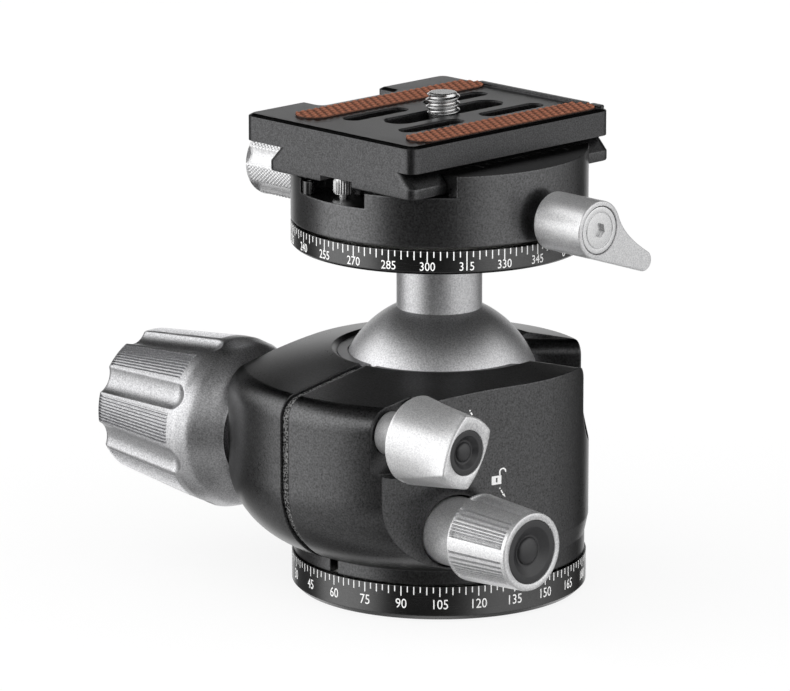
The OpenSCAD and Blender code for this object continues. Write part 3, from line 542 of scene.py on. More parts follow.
# ---- Main knob ----------------------------------------------------------------------------
# Large clamping knob, milled from aluminium, bead blasted and anodised grey. Eight thumb
# scallops run in from the end between eight pads of fine parallel ridges.
grey_finish = new_finish(
    "frosted_grey", frosted((0.36, 0.36, 0.37), (0.74, 0.74, 0.75), rough=0.34, depth=0.01, scale=3.6),
    Metallic=1.0)
main_knob_at = (-23.3, -22.6, 28.8)
knob_profile = [(0.0, 10.4), (2.2, 13.1), (4.8, 15.3), (7.8, 16.2), (10.4, 16.1), (30.9, 13.9), (31.7, 13.1)]
knob_len, knob_bore, recess_r, recess_floor = 31.7, 7.0, 9.2, 30.1
lobes, lobe_turn = 8, -18.3
scallop_r, scallop_depth, scallop_from = 3.7, 1.25, 9.7
pad_half, ridge_count, ridge_depth, ridge_from, ridge_to = 10.6, 9, 0.45, 9.9, 31.4
lip_from, lip_r, lip_round = 30.5, 13.94, (1.2, 0.9)
lobe_step = 360.0 / lobes


def soft_min(a, b, ease):
    """The smaller of two, with the corner between them eased."""
    share = max(ease - abs(a - b), 0.0) / ease
    return min(a, b) - share * share * ease / 4


def main_knob_cut(angle, r, d):
    """Radius left by the grooves between the ridges and by the scallops."""
    off = (angle - lobe_turn + lobe_step / 2) % lobe_step - lobe_step / 2
    pad_off = (angle - lobe_turn) % lobe_step - lobe_step / 2
    left = r
    if ridge_from <= d <= ridge_to and abs(pad_off) < pad_half:
        phase = (pad_off + pad_half) / (2 * pad_half) * ridge_count % 1.0
        groove = min(1.0, max(0.0, (0.4 - abs(phase - 0.5)) / 0.22))
        run_out = min(1.0, (d - ridge_from) / 0.3)
        left -= ridge_depth * groove * run_out
    axis_r = r + scallop_r - scallop_depth
    inward = max(0.0, scallop_from - d)
    if inward < scallop_r:
        hollow = scallop_r ** 2 - inward ** 2 - (axis_r * math.sin(math.radians(off))) ** 2
        if hollow > 0:
            left = soft_min(left, axis_r * math.cos(math.radians(off)) - math.sqrt(hollow), 0.08)
    return left


# Angles and stations lie close together only where the grooves and scallops turn
knob_angles = []
hollow_half, hollow_steps = lobe_step / 2 - pad_half, 34
for lobe in range(lobes):
    centre = lobe * lobe_step + lobe_turn
    for k in range(hollow_steps):
        knob_angles.append(centre - hollow_half + k * 2 * hollow_half / hollow_steps)
    for k in range(ridge_count):
        for phase in (0.0, 0.1, 0.16, 0.32, 0.5, 0.68, 0.84, 0.9):
            knob_angles.append(centre + hollow_half + (k + phase) * 2 * pad_half / ridge_count)
stations = ([0.0, 0.15, 0.5, 1.0, 1.6, 2.2, 2.8, 3.4, 4.0, 4.6, 5.2, 5.8, 6.3]
            + [6.6 + 0.17 * k for k in range(28)] + [11.5, 12.2]
            + [13.5 + 1.7 * k for k in range(10)]
            + [30.4, 30.7, 30.95, 31.15, 31.35, 31.5, 31.6, 31.66, knob_len])


def along_profile(profile, d):
    """Radius at a distance, smoothed through the corners of the profile."""
    reach, apart = 6, 0.12
    total, weight = 0.0, 0.0
    for k in range(-reach, reach + 1):
        near = min(max(d + k * apart, profile[0][0]), profile[-1][0])
        for (d0, r0), (d1, r1) in zip(profile, profile[1:]):
            if d0 <= near <= d1:
                w = 1 - abs(k) / (reach + 1)
                total += w * (r0 + (r1 - r0) * (near - d0) / (d1 - d0))
                weight += w
                break
    return total / weight


knob_line = [(knob_bore, 0.0), (10.2, 0.0)]
for d in stations:
    if d < lip_from:
        knob_line.append((along_profile(knob_profile, d), d))
    else:
        lip = min(1.0, (d - lip_from) / lip_round[0])
        knob_line.append((lip_r - lip_round[1] * (1 - math.sqrt(max(0.0, 1 - lip * lip))), d))
knob_line += [(9.6, knob_len), (9.25, 31.6), (recess_r, 31.4), (recess_r, recess_floor),
              (knob_bore, recess_floor)]
add_piece("main_knob_grip", *turned(knob_line, main_knob_at, -X, Z, knob_angles, main_knob_cut, True),
          grey_finish, "main_knob", ["main_knob"], "titanium_grey", sharp=50, normals=False)
cap_r, cap_top = 9.15, 31.5
cap_line = eased([(0, recess_floor), (cap_r, recess_floor), (cap_r, cap_top, 0.2), (8.3, cap_top, 0.05),
                  (8.15, 31.35, 0.05), (8.0, cap_top, 0.05), (2.0, 31.42), (0, 31.4)])
add_piece("main_knob_end_disc", *turned(cap_line, main_knob_at, -X, around=96), grey_finish, "main_knob",
          ["main_knob_cap"], "titanium_grey")


# ---- Friction knob ------------------------------------------------------------------------
# Small silver knob that sets the drag on the ball: a round grip that narrows to its end
# between two wings, bead blasted, on a plain stem.
silver_finish = new_finish(
    "frosted_silver", frosted((0.48, 0.48, 0.49), (0.76, 0.76, 0.76), rough=0.3, depth=0.006, scale=3.8),
    Metallic=0.75)
friction_at, face_turn = (0, -30.6, 37.4), 60.0
grip_from, grip_to, grip_bore, plug_r = 25.0, 38.0, 2.2, 4.15
# Each pair holds the size at the grip's start and at its end
grip_round, wing_corner, wing_spread, face_middle = (8.1, 6.55), (8.2, 6.78), (79.0, 57.5), (8.15, 4.62)


def between(pair, share):
    return pair[0] + (pair[1] - pair[0]) * share


def friction_cut(angle, r, d):
    """Radius left by the two bowed faces and by the wings between them."""
    if d < grip_from + 0.3 or r < 4.3:
        return r
    share = (d - grip_from) / (grip_to - grip_from)
    corner = between(wing_corner, share)
    spread = math.radians(between(wing_spread, share))
    middle = between(face_middle, share)
    rise = middle - corner * math.cos(spread)
    bow = (rise ** 2 + (corner * math.sin(spread)) ** 2) / (2 * rise)
    off = math.radians((angle - face_turn + 90) % 180 - 90)
    back = middle - bow
    face = back * math.cos(off) + math.sqrt(bow ** 2 - (back * math.sin(off)) ** 2)
    past = min(1.0, abs(math.pi / 2 - abs(off)) / (math.pi / 2 - spread))
    wing = corner * (0.955 + 0.045 * past ** 2)
    return soft_min(face, wing, 0.1) - max(0.0, between(grip_round, share) - r)


friction_line = [(grip_bore, 18.1), (3.7, 18.1), (4.0, 18.4), (4.0, 24.7), (4.1, 24.95), (4.3, grip_from),
                 (7.5, grip_from), (7.8, 25.06), (8.0, 25.2)]
for k in range(45):
    d = 25.35 + 12.3 * k / 44
    friction_line.append((between(grip_round, (d - grip_from) / (grip_to - grip_from)), d))
end_r = grip_round[1]
friction_line += [(end_r - 0.03, 37.8), (end_r - 0.12, 37.93), (end_r - 0.28, grip_to), (4.25, grip_to),
                  (plug_r, 37.9), (plug_r, 36.8), (grip_bore, 36.8)]
add_piece("friction_grip", *turned(friction_line, friction_at, X, Z, 360, friction_cut, True),
          silver_finish, "friction_knob", ["friction_knob"], "silver_anodised", sharp=50, normals=False)


# ---- Rubber caps --------------------------------------------------------------------------
# Dark grey rubber plugs pressed in the ends of both small knobs. Each has a flat rim, a dish
# and a low round button in the middle.
def dark_rubber(s):
    grain = s.noise(s.place_mm(), 4.0, 3.0)
    cloud = s.noise(s.place_mm(), 0.5, 2.0)
    return {
        "Base Color": (grain * 0.6 + cloud * 0.4).tint((0.01, 0.01, 0.011), (0.024, 0.024, 0.025)),
        "Roughness": 0.28 + grain * 0.1,
        "Normal": s.raised(grain, 0.008),
    }


rubber_finish = new_finish("dark_rubber", dark_rubber)


lock_at, lock_end = (0, -19.3, 17.9), 43.3


def rubber_cap(name, body, node, at, end, r, dish_r, dish, button_r):
    floor = end - dish
    line = eased([(0, end - 1.2), (r, end - 1.2), (r, end - 0.12, 0.15), (dish_r, end - 0.12, 0.25),
                  (button_r + 0.35, floor, 0.3), (button_r, floor)])
    line += [(button_r * math.cos(math.radians(a)), floor + dish * 0.8 * math.sin(math.radians(a)))
             for a in range(8, 91, 8)]
    line[-1] = (0, line[-1][1])
    add_piece(name, *turned(line, at, X, around=96), rubber_finish, body, [node], "dark_rubber")


rubber_cap("friction_plug", "friction_knob", "friction_cap", friction_at, grip_to, r=4.12, dish_r=3.1,
           dish=1.0, button_r=1.85)
rubber_cap("pan_lock_plug", "pan_lock_knob", "pan_lock_cap", lock_at, lock_end, r=5.85, dish_r=4.6,
           dish=1.15, button_r=2.6)


# ---- Pan lock knob ------------------------------------------------------------------------
# Silver knob that locks the base: a plain blasted stem and a tapered grip with six groups of
# straight grooves, wide at one side of each group and close at the other.
groove_at = (0.0, 8.0, 15.0, 20.5, 25.0, 29.0, 33.0, 36.5, 39.0)
groove_half, groove_depth, grooves_from, grooves_to = 1.65, 0.75, 29.9, 42.4
groups, groups_from = 6, 37.0
group_step = 360.0 / groups


def lock_cut(angle, r, d):
    """Radius left by the grooves, which run out before both ends of the grip."""
    if d < grooves_from or d > grooves_to or r < 7.0:
        return r
    off = (angle - groups_from) % group_step
    near = min(min(abs(off - g), abs(off - group_step - g)) for g in groove_at)
    run_out = min(1.0, (d - grooves_from) / 0.4, (grooves_to - d) / 0.5)
    return r - groove_depth * max(0.0, 1 - (near / groove_half) ** 2) ** 0.6 * run_out


across_groove = (-1.0, -0.85, -0.5, 0.0, 0.5, 0.85, 1.0)
in_group = [c + groove_half * s for c in groove_at for s in across_groove] + [42.5, 45, 47.5, 50, 52.5, 55]
lock_angles = sorted({round((group_step * g + groups_from + a) % 360, 3) for g in range(groups)
                      for a in in_group})
lock_bore, lock_stem_r, lock_grip_from, lock_plug_r, lock_recess = 2.6, 6.4, 29.3, 5.9, 42.1
lock_line = eased([(lock_bore, 20.7), (lock_stem_r, 20.7, 0.2), (lock_stem_r, 29.1), (6.45, lock_grip_from)])
lock_line += [(7.8, lock_grip_from), (8.0, 29.38), (8.09, 29.55)]
for d in [grooves_from, 30.1, 30.3] + [30.5 + 1.15 * k for k in range(11)] + [42.1, grooves_to]:
    lock_line.append((8.1 - 0.9 * (d - lock_grip_from) / 14.0, d))
lock_line += [(7.22, 42.9), (7.17, 43.12), (7.02, 43.26), (6.85, lock_end), (6.0, lock_end),
              (lock_plug_r, 43.2), (lock_plug_r, lock_recess), (lock_bore, lock_recess)]
add_piece("pan_lock_grip", *turned(lock_line, lock_at, X, Z, lock_angles, lock_cut, True),
          silver_finish, "pan_lock_knob", ["pan_lock_knob"], "silver_anodised", sharp=50, normals=False)


# ---- Panning top and jaws -----------------------------------------------------------------
# Clamp body with its fixed jaw, and the moving jaw: milled, blasted and anodised black like
# the housing, a touch lighter. Their sharp edges are broken by a small round.
dress(new_finish("black_satin", blasted_black(dark=0.08, light=0.18, rough=0.25), Metallic=1.0),
      "turret", "moving_jaw")
for jaw in ("turret", "moving_jaw"):
    joined = cad_nodes[jaw].modifiers.new("joined", "WELD")
    joined.merge_threshold = 1e-6
    broken = cad_nodes[jaw].modifiers.new("broken_edges", "BEVEL")
    broken.width = 0.3 * MM
    broken.segments = 2
    broken.limit_method = "ANGLE"
    broken.angle_limit = math.radians(38)
    broken.miter_outer = "MITER_ARC"
    broken.harden_normals = False
    cad_nodes[jaw].modifiers.new("even_normals", "WEIGHTED_NORMAL").keep_sharp = True


# ---- Lines on the fixed jaw ---------------------------------------------------------------
# Plain scale engraved in the jaw's top face, to centre the plate by. The cutter bares a little
# metal, so the fine lines look dull grey.
def bared_metal(s):
    grain = s.noise(s.place_mm(), 6.0, 3.0)
    return {
        "Base Color": grain.tint((0.05, 0.05, 0.05), (0.12, 0.12, 0.12)),
        "Roughness": 0.45 + grain * 0.2,
        "Normal": s.raised(grain, 0.004),
    }


# Each line lies at a distance from the middle one, on both sides, and ends at its own x
scale_from, scale_mid, jaw_top, line_wide = 15.5, 3.3, 83.1, 0.13
scale_ends = [(11.0, 19.2), (8.5, 18.0), (5.4, 18.4), (0.0, 18.9)] + [(0.9 * k, 17.7) for k in (1, 2, 3, 4, 5)]
scale_bars = [bar(scale_from, scale_mid + side * off, x, scale_mid + side * off, line_wide)
              for off, x in scale_ends for side in (-1, 1) if off or side > 0]
inlay("jaw_lines", "turret", scale_bars, lambda x, y: (Vector((x, y, jaw_top)), Z),
      new_finish("bared_metal", bared_metal), "black_anodised", proud=0.01, sunk=0.03)


# ---- Stop pin -----------------------------------------------------------------------------
# Stainless pin with a fine straight knurl that stands in the pocket and keeps the plate from
# sliding out.
def bright_steel(s):
    marks = s.noise(s.place_mm((1, 1, 6)), 2.0, 3.0)
    return {
        "Base Color": marks.tint((0.6, 0.6, 0.6), (0.8, 0.8, 0.8)),
        "Roughness": 0.2 + marks * 0.12,
        "Normal": s.raised(marks, 0.006),
    }


bright_finish = new_finish("bright_steel", bright_steel, Metallic=1.0)
pin_r, pin_shank_r, pin_low, pin_top, pocket_floor = 2.1, 1.05, 77.35, 80.25, 74.5
knurl_teeth, knurl_depth = 26, 0.16
pin_line = (eased([(0, pocket_floor), (pin_shank_r, pocket_floor), (pin_shank_r, pin_low),
                   (pin_r, pin_low, 0.12)])
            + [(pin_r, 77.6), (pin_r, 79.2)] + eased([(pin_r, 79.25), (pin_r, pin_top, 0.3), (0, pin_top)])[1:])


def pin_cut(angle, r, d):
    if r > pin_r - 0.05 and 77.5 < d < 79.22:
        return r - knurl_depth * (0.5 + 0.5 * math.cos(math.radians(angle * knurl_teeth)))
    return r


add_piece("stop_pin_knurled", *turned(pin_line, (-2.3, -22.1, 0), Z, around=208, cut=pin_cut),
          bright_finish, "turret", ["stop_pin"], "stainless", sharp=60)


# ---- Black post ---------------------------------------------------------------------------
# Small black pin beside the stop pin, turned and anodised, with a shallow dimple in its top.
post_line = eased([(0, pocket_floor), (0.4, pocket_floor), (0.4, 76.5), (1.0, 76.5), (1.0, 78.95, 0.12),
                   (0.55, 78.95), (0.5, 78.75), (0, 78.75)])
add_piece("turned_post", *turned(post_line, (-8.6, -25.2, 0), Z, around=48), black_turned_finish, "turret",
          ["pin_post"], "black_anodised")


# ---- Locking lever ------------------------------------------------------------------------
# Short lever that locks the panning top: a round silver hub and a flat tail that widens into
# it, bead blasted. A bright disc with a hexagon socket closes the hub.
hub_x, hub_end, hub_r, screw_z = 29.5, 41.0, 5.4, 73.7
tail_t, tail_tip, droop, disc_hole_r, lever_bore = 2.4, 1.95, 31.5, 4.45, 2.0


def drawn_in(points, by):
    """Outline moved towards the material: inwards, or outwards for a hole that runs clockwise."""
    moved = []
    for k, p in enumerate(points):
        on = (points[(k + 1) % len(points)] - points[k - 1]).normalized()
        moved.append(p + Vector((-on.y, on.x)) * by)
    return moved


def stacked(levels, holes=(), pockets=(), placed=None):
    """Solid through a stack of (height, outline) levels. Holes run through it as stacks of their
    own. A pocket's stack starts at its floor and ends at the top face."""
    verts, faces, low_ends, high_ends = [], [], [], []
    for kind, stack in [("edge", levels)] + [("hole", h) for h in holes] + [("pocket", p) for p in pockets]:
        rings = []
        for height, points in stack:
            rings.append(list(range(len(verts), len(verts) + len(points))))
            verts.extend(Vector((p.x, p.y, height)) for p in points)
        for low, high in zip(rings, rings[1:]):
            for k in range(len(low)):
                n = (k + 1) % len(low)
                faces.append((low[k], low[n], high[n], high[k]))
        high_ends.append(rings[-1])
        if kind == "pocket":
            for tri in tessellate_polygon([[verts[i] for i in rings[0]]]):
                faces.append(tuple(rings[0][i] for i in tri))
        else:
            low_ends.append(rings[0])
    for ends in (low_ends, high_ends):
        order = [i for ring in ends for i in ring]
        for tri in tessellate_polygon([[verts[i] for i in ring] for ring in ends]):
            faces.append(tuple(order[i] for i in tri))
    return [placed @ v for v in verts] if placed else verts, faces


def circle(centre, r, steps, first=0.0, last=360.0, back=False):
    """Points round a circle, left open at the end. back turns them the other way, for a hole."""
    points = [Vector((centre[0] + r * math.cos(math.radians(first + (last - first) * k / steps)),
                      centre[1] + r * math.sin(math.radians(first + (last - first) * k / steps))))
              for k in range(steps)]
    return points[::-1] if back else points


tip_at, tip_low = 13.95, -0.3
tail = circle((tip_at, tip_low), tail_tip, 18, -84, 88)
tail.append(Vector((tip_at - 0.4, tip_low + tail_tip)))
for k in range(1, 20):
    s = k / 20
    tail.append(Vector((13.55, 1.65)) * (1 - s) ** 2 + Vector((6.7, 1.7)) * 2 * s * (1 - s)
                + Vector((3.5, 4.1)) * s * s)
tail += circle((0, 0), hub_r, 72, 49, 281)
lever_frame = Matrix.Translation((0, 0, screw_z)) @ Matrix.Rotation(math.radians(-droop), 4, "X") @ Matrix(
    ((0, 0, 1, 0), (1, 0, 0, 0), (0, 1, 0, 0), (0, 0, 0, 1)))
tail_edge = [(hub_end - tail_t, 0.12), (hub_end - tail_t + 0.12, 0.0), (hub_end - 0.32, 0.0),
             (hub_end - 0.16, 0.04), (hub_end - 0.05, 0.14), (hub_end, 0.3)]
hole_edge = [(hub_end - tail_t, 0.0), (hub_end - 0.12, 0.0), (hub_end, 0.1)]
disc_hole = circle((0, 0), disc_hole_r, 64, back=True)
tail_part = stacked([(x, drawn_in(tail, by)) for x, by in tail_edge],
                    [[(x, drawn_in(disc_hole, by)) for x, by in hole_edge]], placed=lever_frame)
hub_part = turned(
    eased([(lever_bore, hub_x), (hub_r, hub_x, 0.35), (hub_r, hub_end - 1.2), (disc_hole_r, hub_end - 1.2),
           (disc_hole_r, hub_end - 1.0), (lever_bore, hub_end - 1.0)]),
    (0, 0, screw_z), X, around=96, closed=True)


def together(*parts):
    """Several closed forms as one mesh."""
    verts, faces = [], []
    for more_verts, more_faces in parts:
        shift = len(verts)
        verts += more_verts
        faces += [tuple(shift + i for i in f) for f in more_faces]
    return verts, faces


add_piece("lever_body", *together(tail_part, hub_part), silver_finish, "lever", ["lever"],
          "silver_anodised", sharp=40)
disc_back, disc_front, socket_floor, socket_r, end_disc_r = 40.0, 40.9, 40.1, 1.6, 4.32
disc_line = eased([(0, disc_back), (end_disc_r, disc_back), (end_disc_r, disc_front, 0.12),
                   (3.42, disc_front, 0.05), (3.3, 40.72), (3.18, disc_front, 0.05), (socket_r, disc_front),
                   (socket_r, socket_floor), (0, socket_floor)])
# The ring round the hexagon stays just clear of the disc's wall, so that both stay closed
rim, hexagon = circle((0, 0), socket_r - 0.002, 96), circle((0, 0), 1.45, 6, 12, 372, back=True)
hexagon_ring = stacked([(socket_floor, rim), (disc_front, rim)],
                       [[(socket_floor, hexagon), (disc_front, hexagon)]], placed=lever_frame)
bright_silver = new_finish(
    "bright_silver", frosted((0.74, 0.74, 0.75), (0.88, 0.88, 0.88), rough=0.24, depth=0.004), Metallic=1.0)
add_piece("lever_disc", *together(turned(disc_line, (0, 0, screw_z), X, around=96), hexagon_ring),
          bright_silver, "lever", ["lever_cap"], "silver_anodised", sharp=30)


# ---- Clamp knob ---------------------------------------------------------------------------
# Silver knob that draws the moving jaw in: three smooth scallops and the bands between them
# carry a diamond knurl.
clamp_r, knurl_from, knurl_to, clamp_bore, bore_end = 6.8, 2.9, 17.4, 2.0, 15.5
hollow_r, hollow_axis, hollow_step, hollow_turn = 4.1, clamp_r + 3.3, 60, 15
clamp_pitch, clamp_depth, clamp_slope = math.tau * clamp_r / 60, 0.3, 0.8


def clamp_cut(angle, r, d):
    """Radius left by two crossing runs of fine grooves and by the scallops."""
    if d < knurl_from or d > knurl_to or r < 5.6:
        return r
    off = (angle + hollow_turn + hollow_step / 2) % hollow_step - hollow_step / 2
    ends = min(1.0, (d - knurl_from) / 0.5, (knurl_to - d) / 0.5)
    wide = math.radians(angle) * clamp_r
    one = abs(((wide + d * clamp_slope) / clamp_pitch) % 1.0 - 0.5) * 2
    two = abs(((wide - d * clamp_slope) / clamp_pitch) % 1.0 - 0.5) * 2
    left = r - clamp_depth * (1 - min(one, two)) * ends
    hollow = hollow_r ** 2 - (hollow_axis * math.sin(math.radians(off))) ** 2
    if hollow > 0:
        left = min(left, hollow_axis * math.cos(math.radians(off)) - math.sqrt(hollow))
    return left


clamp_line = [(0, bore_end), (clamp_bore, bore_end), (clamp_bore, 0.3), (4.0, 0.3), (4.2, 0.5), (4.2, 2.3),
              (4.3, 2.5), (6.2, 2.5), (6.5, 2.57), (6.72, 2.75)]
clamp_line += [(clamp_r, knurl_from + 0.145 * k) for k in range(101)]
clamp_line += [(6.72, 17.7), (6.45, 17.95), (6.1, 18.15), (5.2, 18.2), (0, 18.1)]
add_piece("clamp_knob_grip", *turned(clamp_line, (-27.5, 0, screw_z), -X, Z, 352, clamp_cut),
          silver_finish, "clamp_knob", ["clamp_knob"], "silver_anodised", sharp=65, normals=False)


# ---- Camera plate -------------------------------------------------------------------------
# Quick-release plate, milled with a dovetail foot, bead blasted a little finer than the
# housing and anodised black.
def black_plate(s):
    grain = s.noise(s.place_mm(), 4.2, 3.0).ramp((0.3, 0.0), (0.7, 1.0))
    cloud = s.noise(s.place_mm(), 0.12, 2.0)
    return {
        "Base Color": (grain * 0.85 + cloud * 0.15).tint((0.045, 0.045, 0.045), (0.13, 0.13, 0.133)),
        "Roughness": 0.26 + grain * 0.06 + cloud * 0.06,
        "Normal": s.raised(grain, 0.005, s.eased_edges(0.08)),
    }


plate_half, foot_half, neck_half, foot_round = 25.8, 19.0, 16.1, 1.9
plate_low, notch_top, lip_top, flange_low, plate_top = 79.45, 80.65, 81.35, 84.25, 89.25


def rounded(corners, steps=6):
    """Plan with its corners rounded. Each corner is x, y and its radius."""
    return [Vector(p) for p in eased(corners, steps)]


def long_hole(x, y0, y1, width):
    """Outline of a slot along y with round ends, turned as a hole's is."""
    r = width / 2
    points = arc((x, y0 + r), r, 180, 360, 15) + arc((x, y1 - r), r, 0, 180, 15)
    return [Vector(p) for p in reversed(points)]


def foot_plan(half, front=()):
    return rounded([(-half, -plate_half, foot_round), *front, (half, -plate_half, foot_round),
                    (half, plate_half, foot_round), (-half, plate_half, foot_round)])


# The notch for the stop pin runs into the pocket for the screw's head
pocket_r, pocket_from, pocket_to, notch_left, notch_right = 9.1, -19.0, 19.5, -4.8, 3.4
left_turn, right_turn = (360 - math.degrees(math.acos(notch_left / pocket_r)),
                         -math.degrees(math.acos(notch_right / pocket_r)))
notch_wall = ([(notch_left, -plate_half)]
              + arc((0, pocket_from + pocket_r), pocket_r, left_turn, 180, 8)
              + arc((0, pocket_to - pocket_r), pocket_r, 180, 0, 15)
              + arc((0, pocket_from + pocket_r), pocket_r, 0, right_turn, 8)
              + [(notch_right, -plate_half)])
notched_plan = foot_plan(foot_half, notch_wall)


flange_right, flange_left, bay, flange_round = 19, -25.2, (-20.4, -10.5, 8.5), 2.2
flange_plan = rounded([
    (flange_right, -plate_half, flange_round), (flange_right, plate_half, flange_round),
    (flange_left, plate_half, flange_round), (flange_left, bay[2], 0.9), (bay[0], bay[2], 0.7),
    (bay[0], bay[1], 0.7), (flange_left, bay[1], 0.9), (flange_left, -plate_half, flange_round)])
through = [long_hole(0, -13.0, 15.2, 5.8)] + [long_hole(side * 7.3, y - 7.5, y + 7.5, 3.5)
                                              for side in (-1, 1) for y in (-9.3, 11.35)]
pad_mid_x, pad_mid_y, pad_groove_half = 14.5, 1.5, 23.0
pad_holes = [long_hole(side * pad_mid_x, pad_mid_y - pad_groove_half, pad_mid_y + pad_groove_half, 7.0)
             for side in (-1, 1)]
pocket = long_hole(0, pocket_from, pocket_to, 2 * pocket_r)
screw_holes = [circle((side * 9.0, end * 24.4), 1.27, 32, back=True) for side in (-1, 1) for end in (-1, 1)]
upper_foot_low = notch_top - 0.01  # laps the notched part a little, so that both stay closed
plate_parts = [
    stacked([(plate_low, drawn_in(notched_plan, 0.3)), (plate_low + 0.1, drawn_in(notched_plan, 0.1)),
             (plate_low + 0.3, notched_plan), (notch_top, notched_plan)],
            [[(plate_low, h), (notch_top, h)] for h in screw_holes]),
    stacked([(upper_foot_low, foot_plan(foot_half)), (lip_top - 0.15, foot_plan(foot_half)),
             (lip_top, foot_plan(foot_half - 0.05)), (lip_top + 0.15, foot_plan(foot_half - 0.2)),
             (flange_low, foot_plan(neck_half))],
            [[(upper_foot_low, h), (flange_low, h)] for h in screw_holes + [pocket]]),
    stacked([(flange_low, flange_plan), (plate_top - 0.48, flange_plan),
             (plate_top - 0.4, drawn_in(flange_plan, 0.06)), (plate_top - 0.04, drawn_in(flange_plan, 0.76)),
             (plate_top, drawn_in(flange_plan, 0.9))],
            [[(flange_low, h), (plate_top - 0.25, h), (plate_top, drawn_in(h, 0.25))] for h in through],
            [[(plate_top - 0.8, h), (plate_top, h)] for h in pad_holes]),
]
ledge_from, ledge_to, ledge_h = 23.9, 25.1, 0.5
for x0, x1 in ((-14.0, 14.4), (15.1, 18.1)):
    ledge = rounded([(x0, ledge_from, 0.3), (x1, ledge_from, 0.3), (x1, ledge_to, 0.5), (x0, ledge_to, 0.5)], 3)
    plate_parts.append(stacked([(plate_top - 0.1, ledge), (plate_top + ledge_h - 0.15, ledge),
                                (plate_top + ledge_h, drawn_in(ledge, 0.15))]))
add_piece("plate_body", *together(*plate_parts), new_finish("black_plate", black_plate, Metallic=1.0), "plate",
          ["camera_plate"], "black_plate", sharp=28)


# ---- Rubber pads --------------------------------------------------------------------------
# Two brown rubber strips glued in grooves of the plate, with a moulded diamond pattern that
# grips the camera. The colour darkens into the gaps between the studs: painted shade.
pad_half_w, pad_half_l, pad_top, pad_low = 3.47, 22.97, 89.75, 88.5
stud_across, stud_along, stud_h = 1.39, 1.64, 0.42


def brown_rubber(s):
    grain = s.noise(s.place_mm(), 5.0, 3.0)
    cloud = s.noise(s.place_mm(), 0.4, 2.0)
    # Painted shade: height above the gap floor takes the colour from near black in the gaps to brown on the
    # studs
    gap_shade_height = s.node("SeparateXYZ", {}, {0: s.place_mm()}, 2) - (pad_top - stud_h)
    return {
        "Base Color": (grain * 0.2 + cloud * 0.1 + gap_shade_height * 2.0 - 0.15).tint(
            (0.01, 0.004, 0.002), (0.42, 0.15, 0.082)),
        "Roughness": 0.45 + grain * 0.2,
        "Normal": s.raised(grain, 0.015),
    }


def pad_mesh(x_mid):
    """Rounded strip whose top is a fine grid, lifted into rows of small pyramids."""
    verts, faces = [], []
    across, down = 40, 250
    straight = pad_half_l - pad_half_w
    for j in range(down + 1):
        share = -1 + 2 * j / down
        y = math.sin(share * math.pi / 2) * 0.2 * pad_half_l + share * 0.8 * pad_half_l
        past = max(0.0, abs(y) - straight)
        half = math.sqrt(max(0.0, pad_half_w ** 2 - past ** 2))
        for i in range(across + 1):
            x = (-1 + 2 * i / across) * half
            one = abs((x / stud_across) % 1.0 - 0.5) * 2
            two = abs((y / stud_along + 0.5 * round(x / stud_across)) % 1.0 - 0.5) * 2
            lift = stud_h * min(0.9, one * 1.1, two * 1.1) / 0.9
            verts.append(Vector((x_mid + x, pad_mid_y + y, pad_top - stud_h + lift)))
    wide = across + 1
    for j in range(down):
        for i in range(across):
            a = j * wide + i
            faces.append((a, a + 1, a + wide + 1, a + wide))
    edge_loop = (list(range(wide)) + [j * wide + across for j in range(1, down + 1)]
                 + [down * wide + i for i in range(across - 1, -1, -1)]
                 + [j * wide for j in range(down - 1, 0, -1)])
    start = len(verts)
    verts.extend(Vector((verts[i].x, verts[i].y, pad_low)) for i in edge_loop)
    count = len(edge_loop)
    for k in range(count):
        n = (k + 1) % count
        faces.append((edge_loop[k], edge_loop[n], start + n, start + k))
    faces.append(tuple(start + k for k in range(count)))
    return verts, faces


add_piece("grip_pads", *together(pad_mesh(-pad_mid_x), pad_mesh(pad_mid_x)),
          new_finish("brown_rubber", brown_rubber), "plate", ["rubber_pads"], "brown_rubber", sharp=40,
          normals=False)


# ---- Camera screw -------------------------------------------------------------------------
# Stainless quarter-inch screw with a coarse rolled thread. Its neck slides in the plate's
# centre slot, and its wide slotted head sits in the pocket below.
thread_r, thread_root, thread_pitch, thread_from = 3.175, 2.62, 1.27, 89.3
neck_r, head_r, head_low, head_top, screw_top = 2.6, 6.2, 80.35, 82.55, 93.05


def thread_cut(angle, r, d):
    if d < thread_from or r < 2.3:
        return r
    turn = (d / thread_pitch - angle / 360.0) % 1.0
    ridge = (0.5 - 0.5 * math.cos(math.tau * turn)) ** 1.6
    return min(thread_root + (thread_r - thread_root) * ridge, r)


screw_line = eased([(0, head_low), (head_r, head_low, 0.25), (head_r, head_top, 0.25), (neck_r, head_top),
                    (neck_r, 89.2)])
screw_line += [(neck_r, thread_from)] + [(thread_r, 89.35 + 0.05 * k) for k in range(64)]
screw_line += [(3.0, 92.6), (2.72, 92.76), (2.5, 92.98), (2.42, 93.03), (2.32, screw_top), (2.2, screw_top),
               (0, screw_top)]
add_piece("camera_screw_threaded", *turned(screw_line, (0, 0.8, 0), Z, around=144, cut=thread_cut),
          bright_finish, "camera_screw", ["camera_screw"], "stainless", sharp=40)


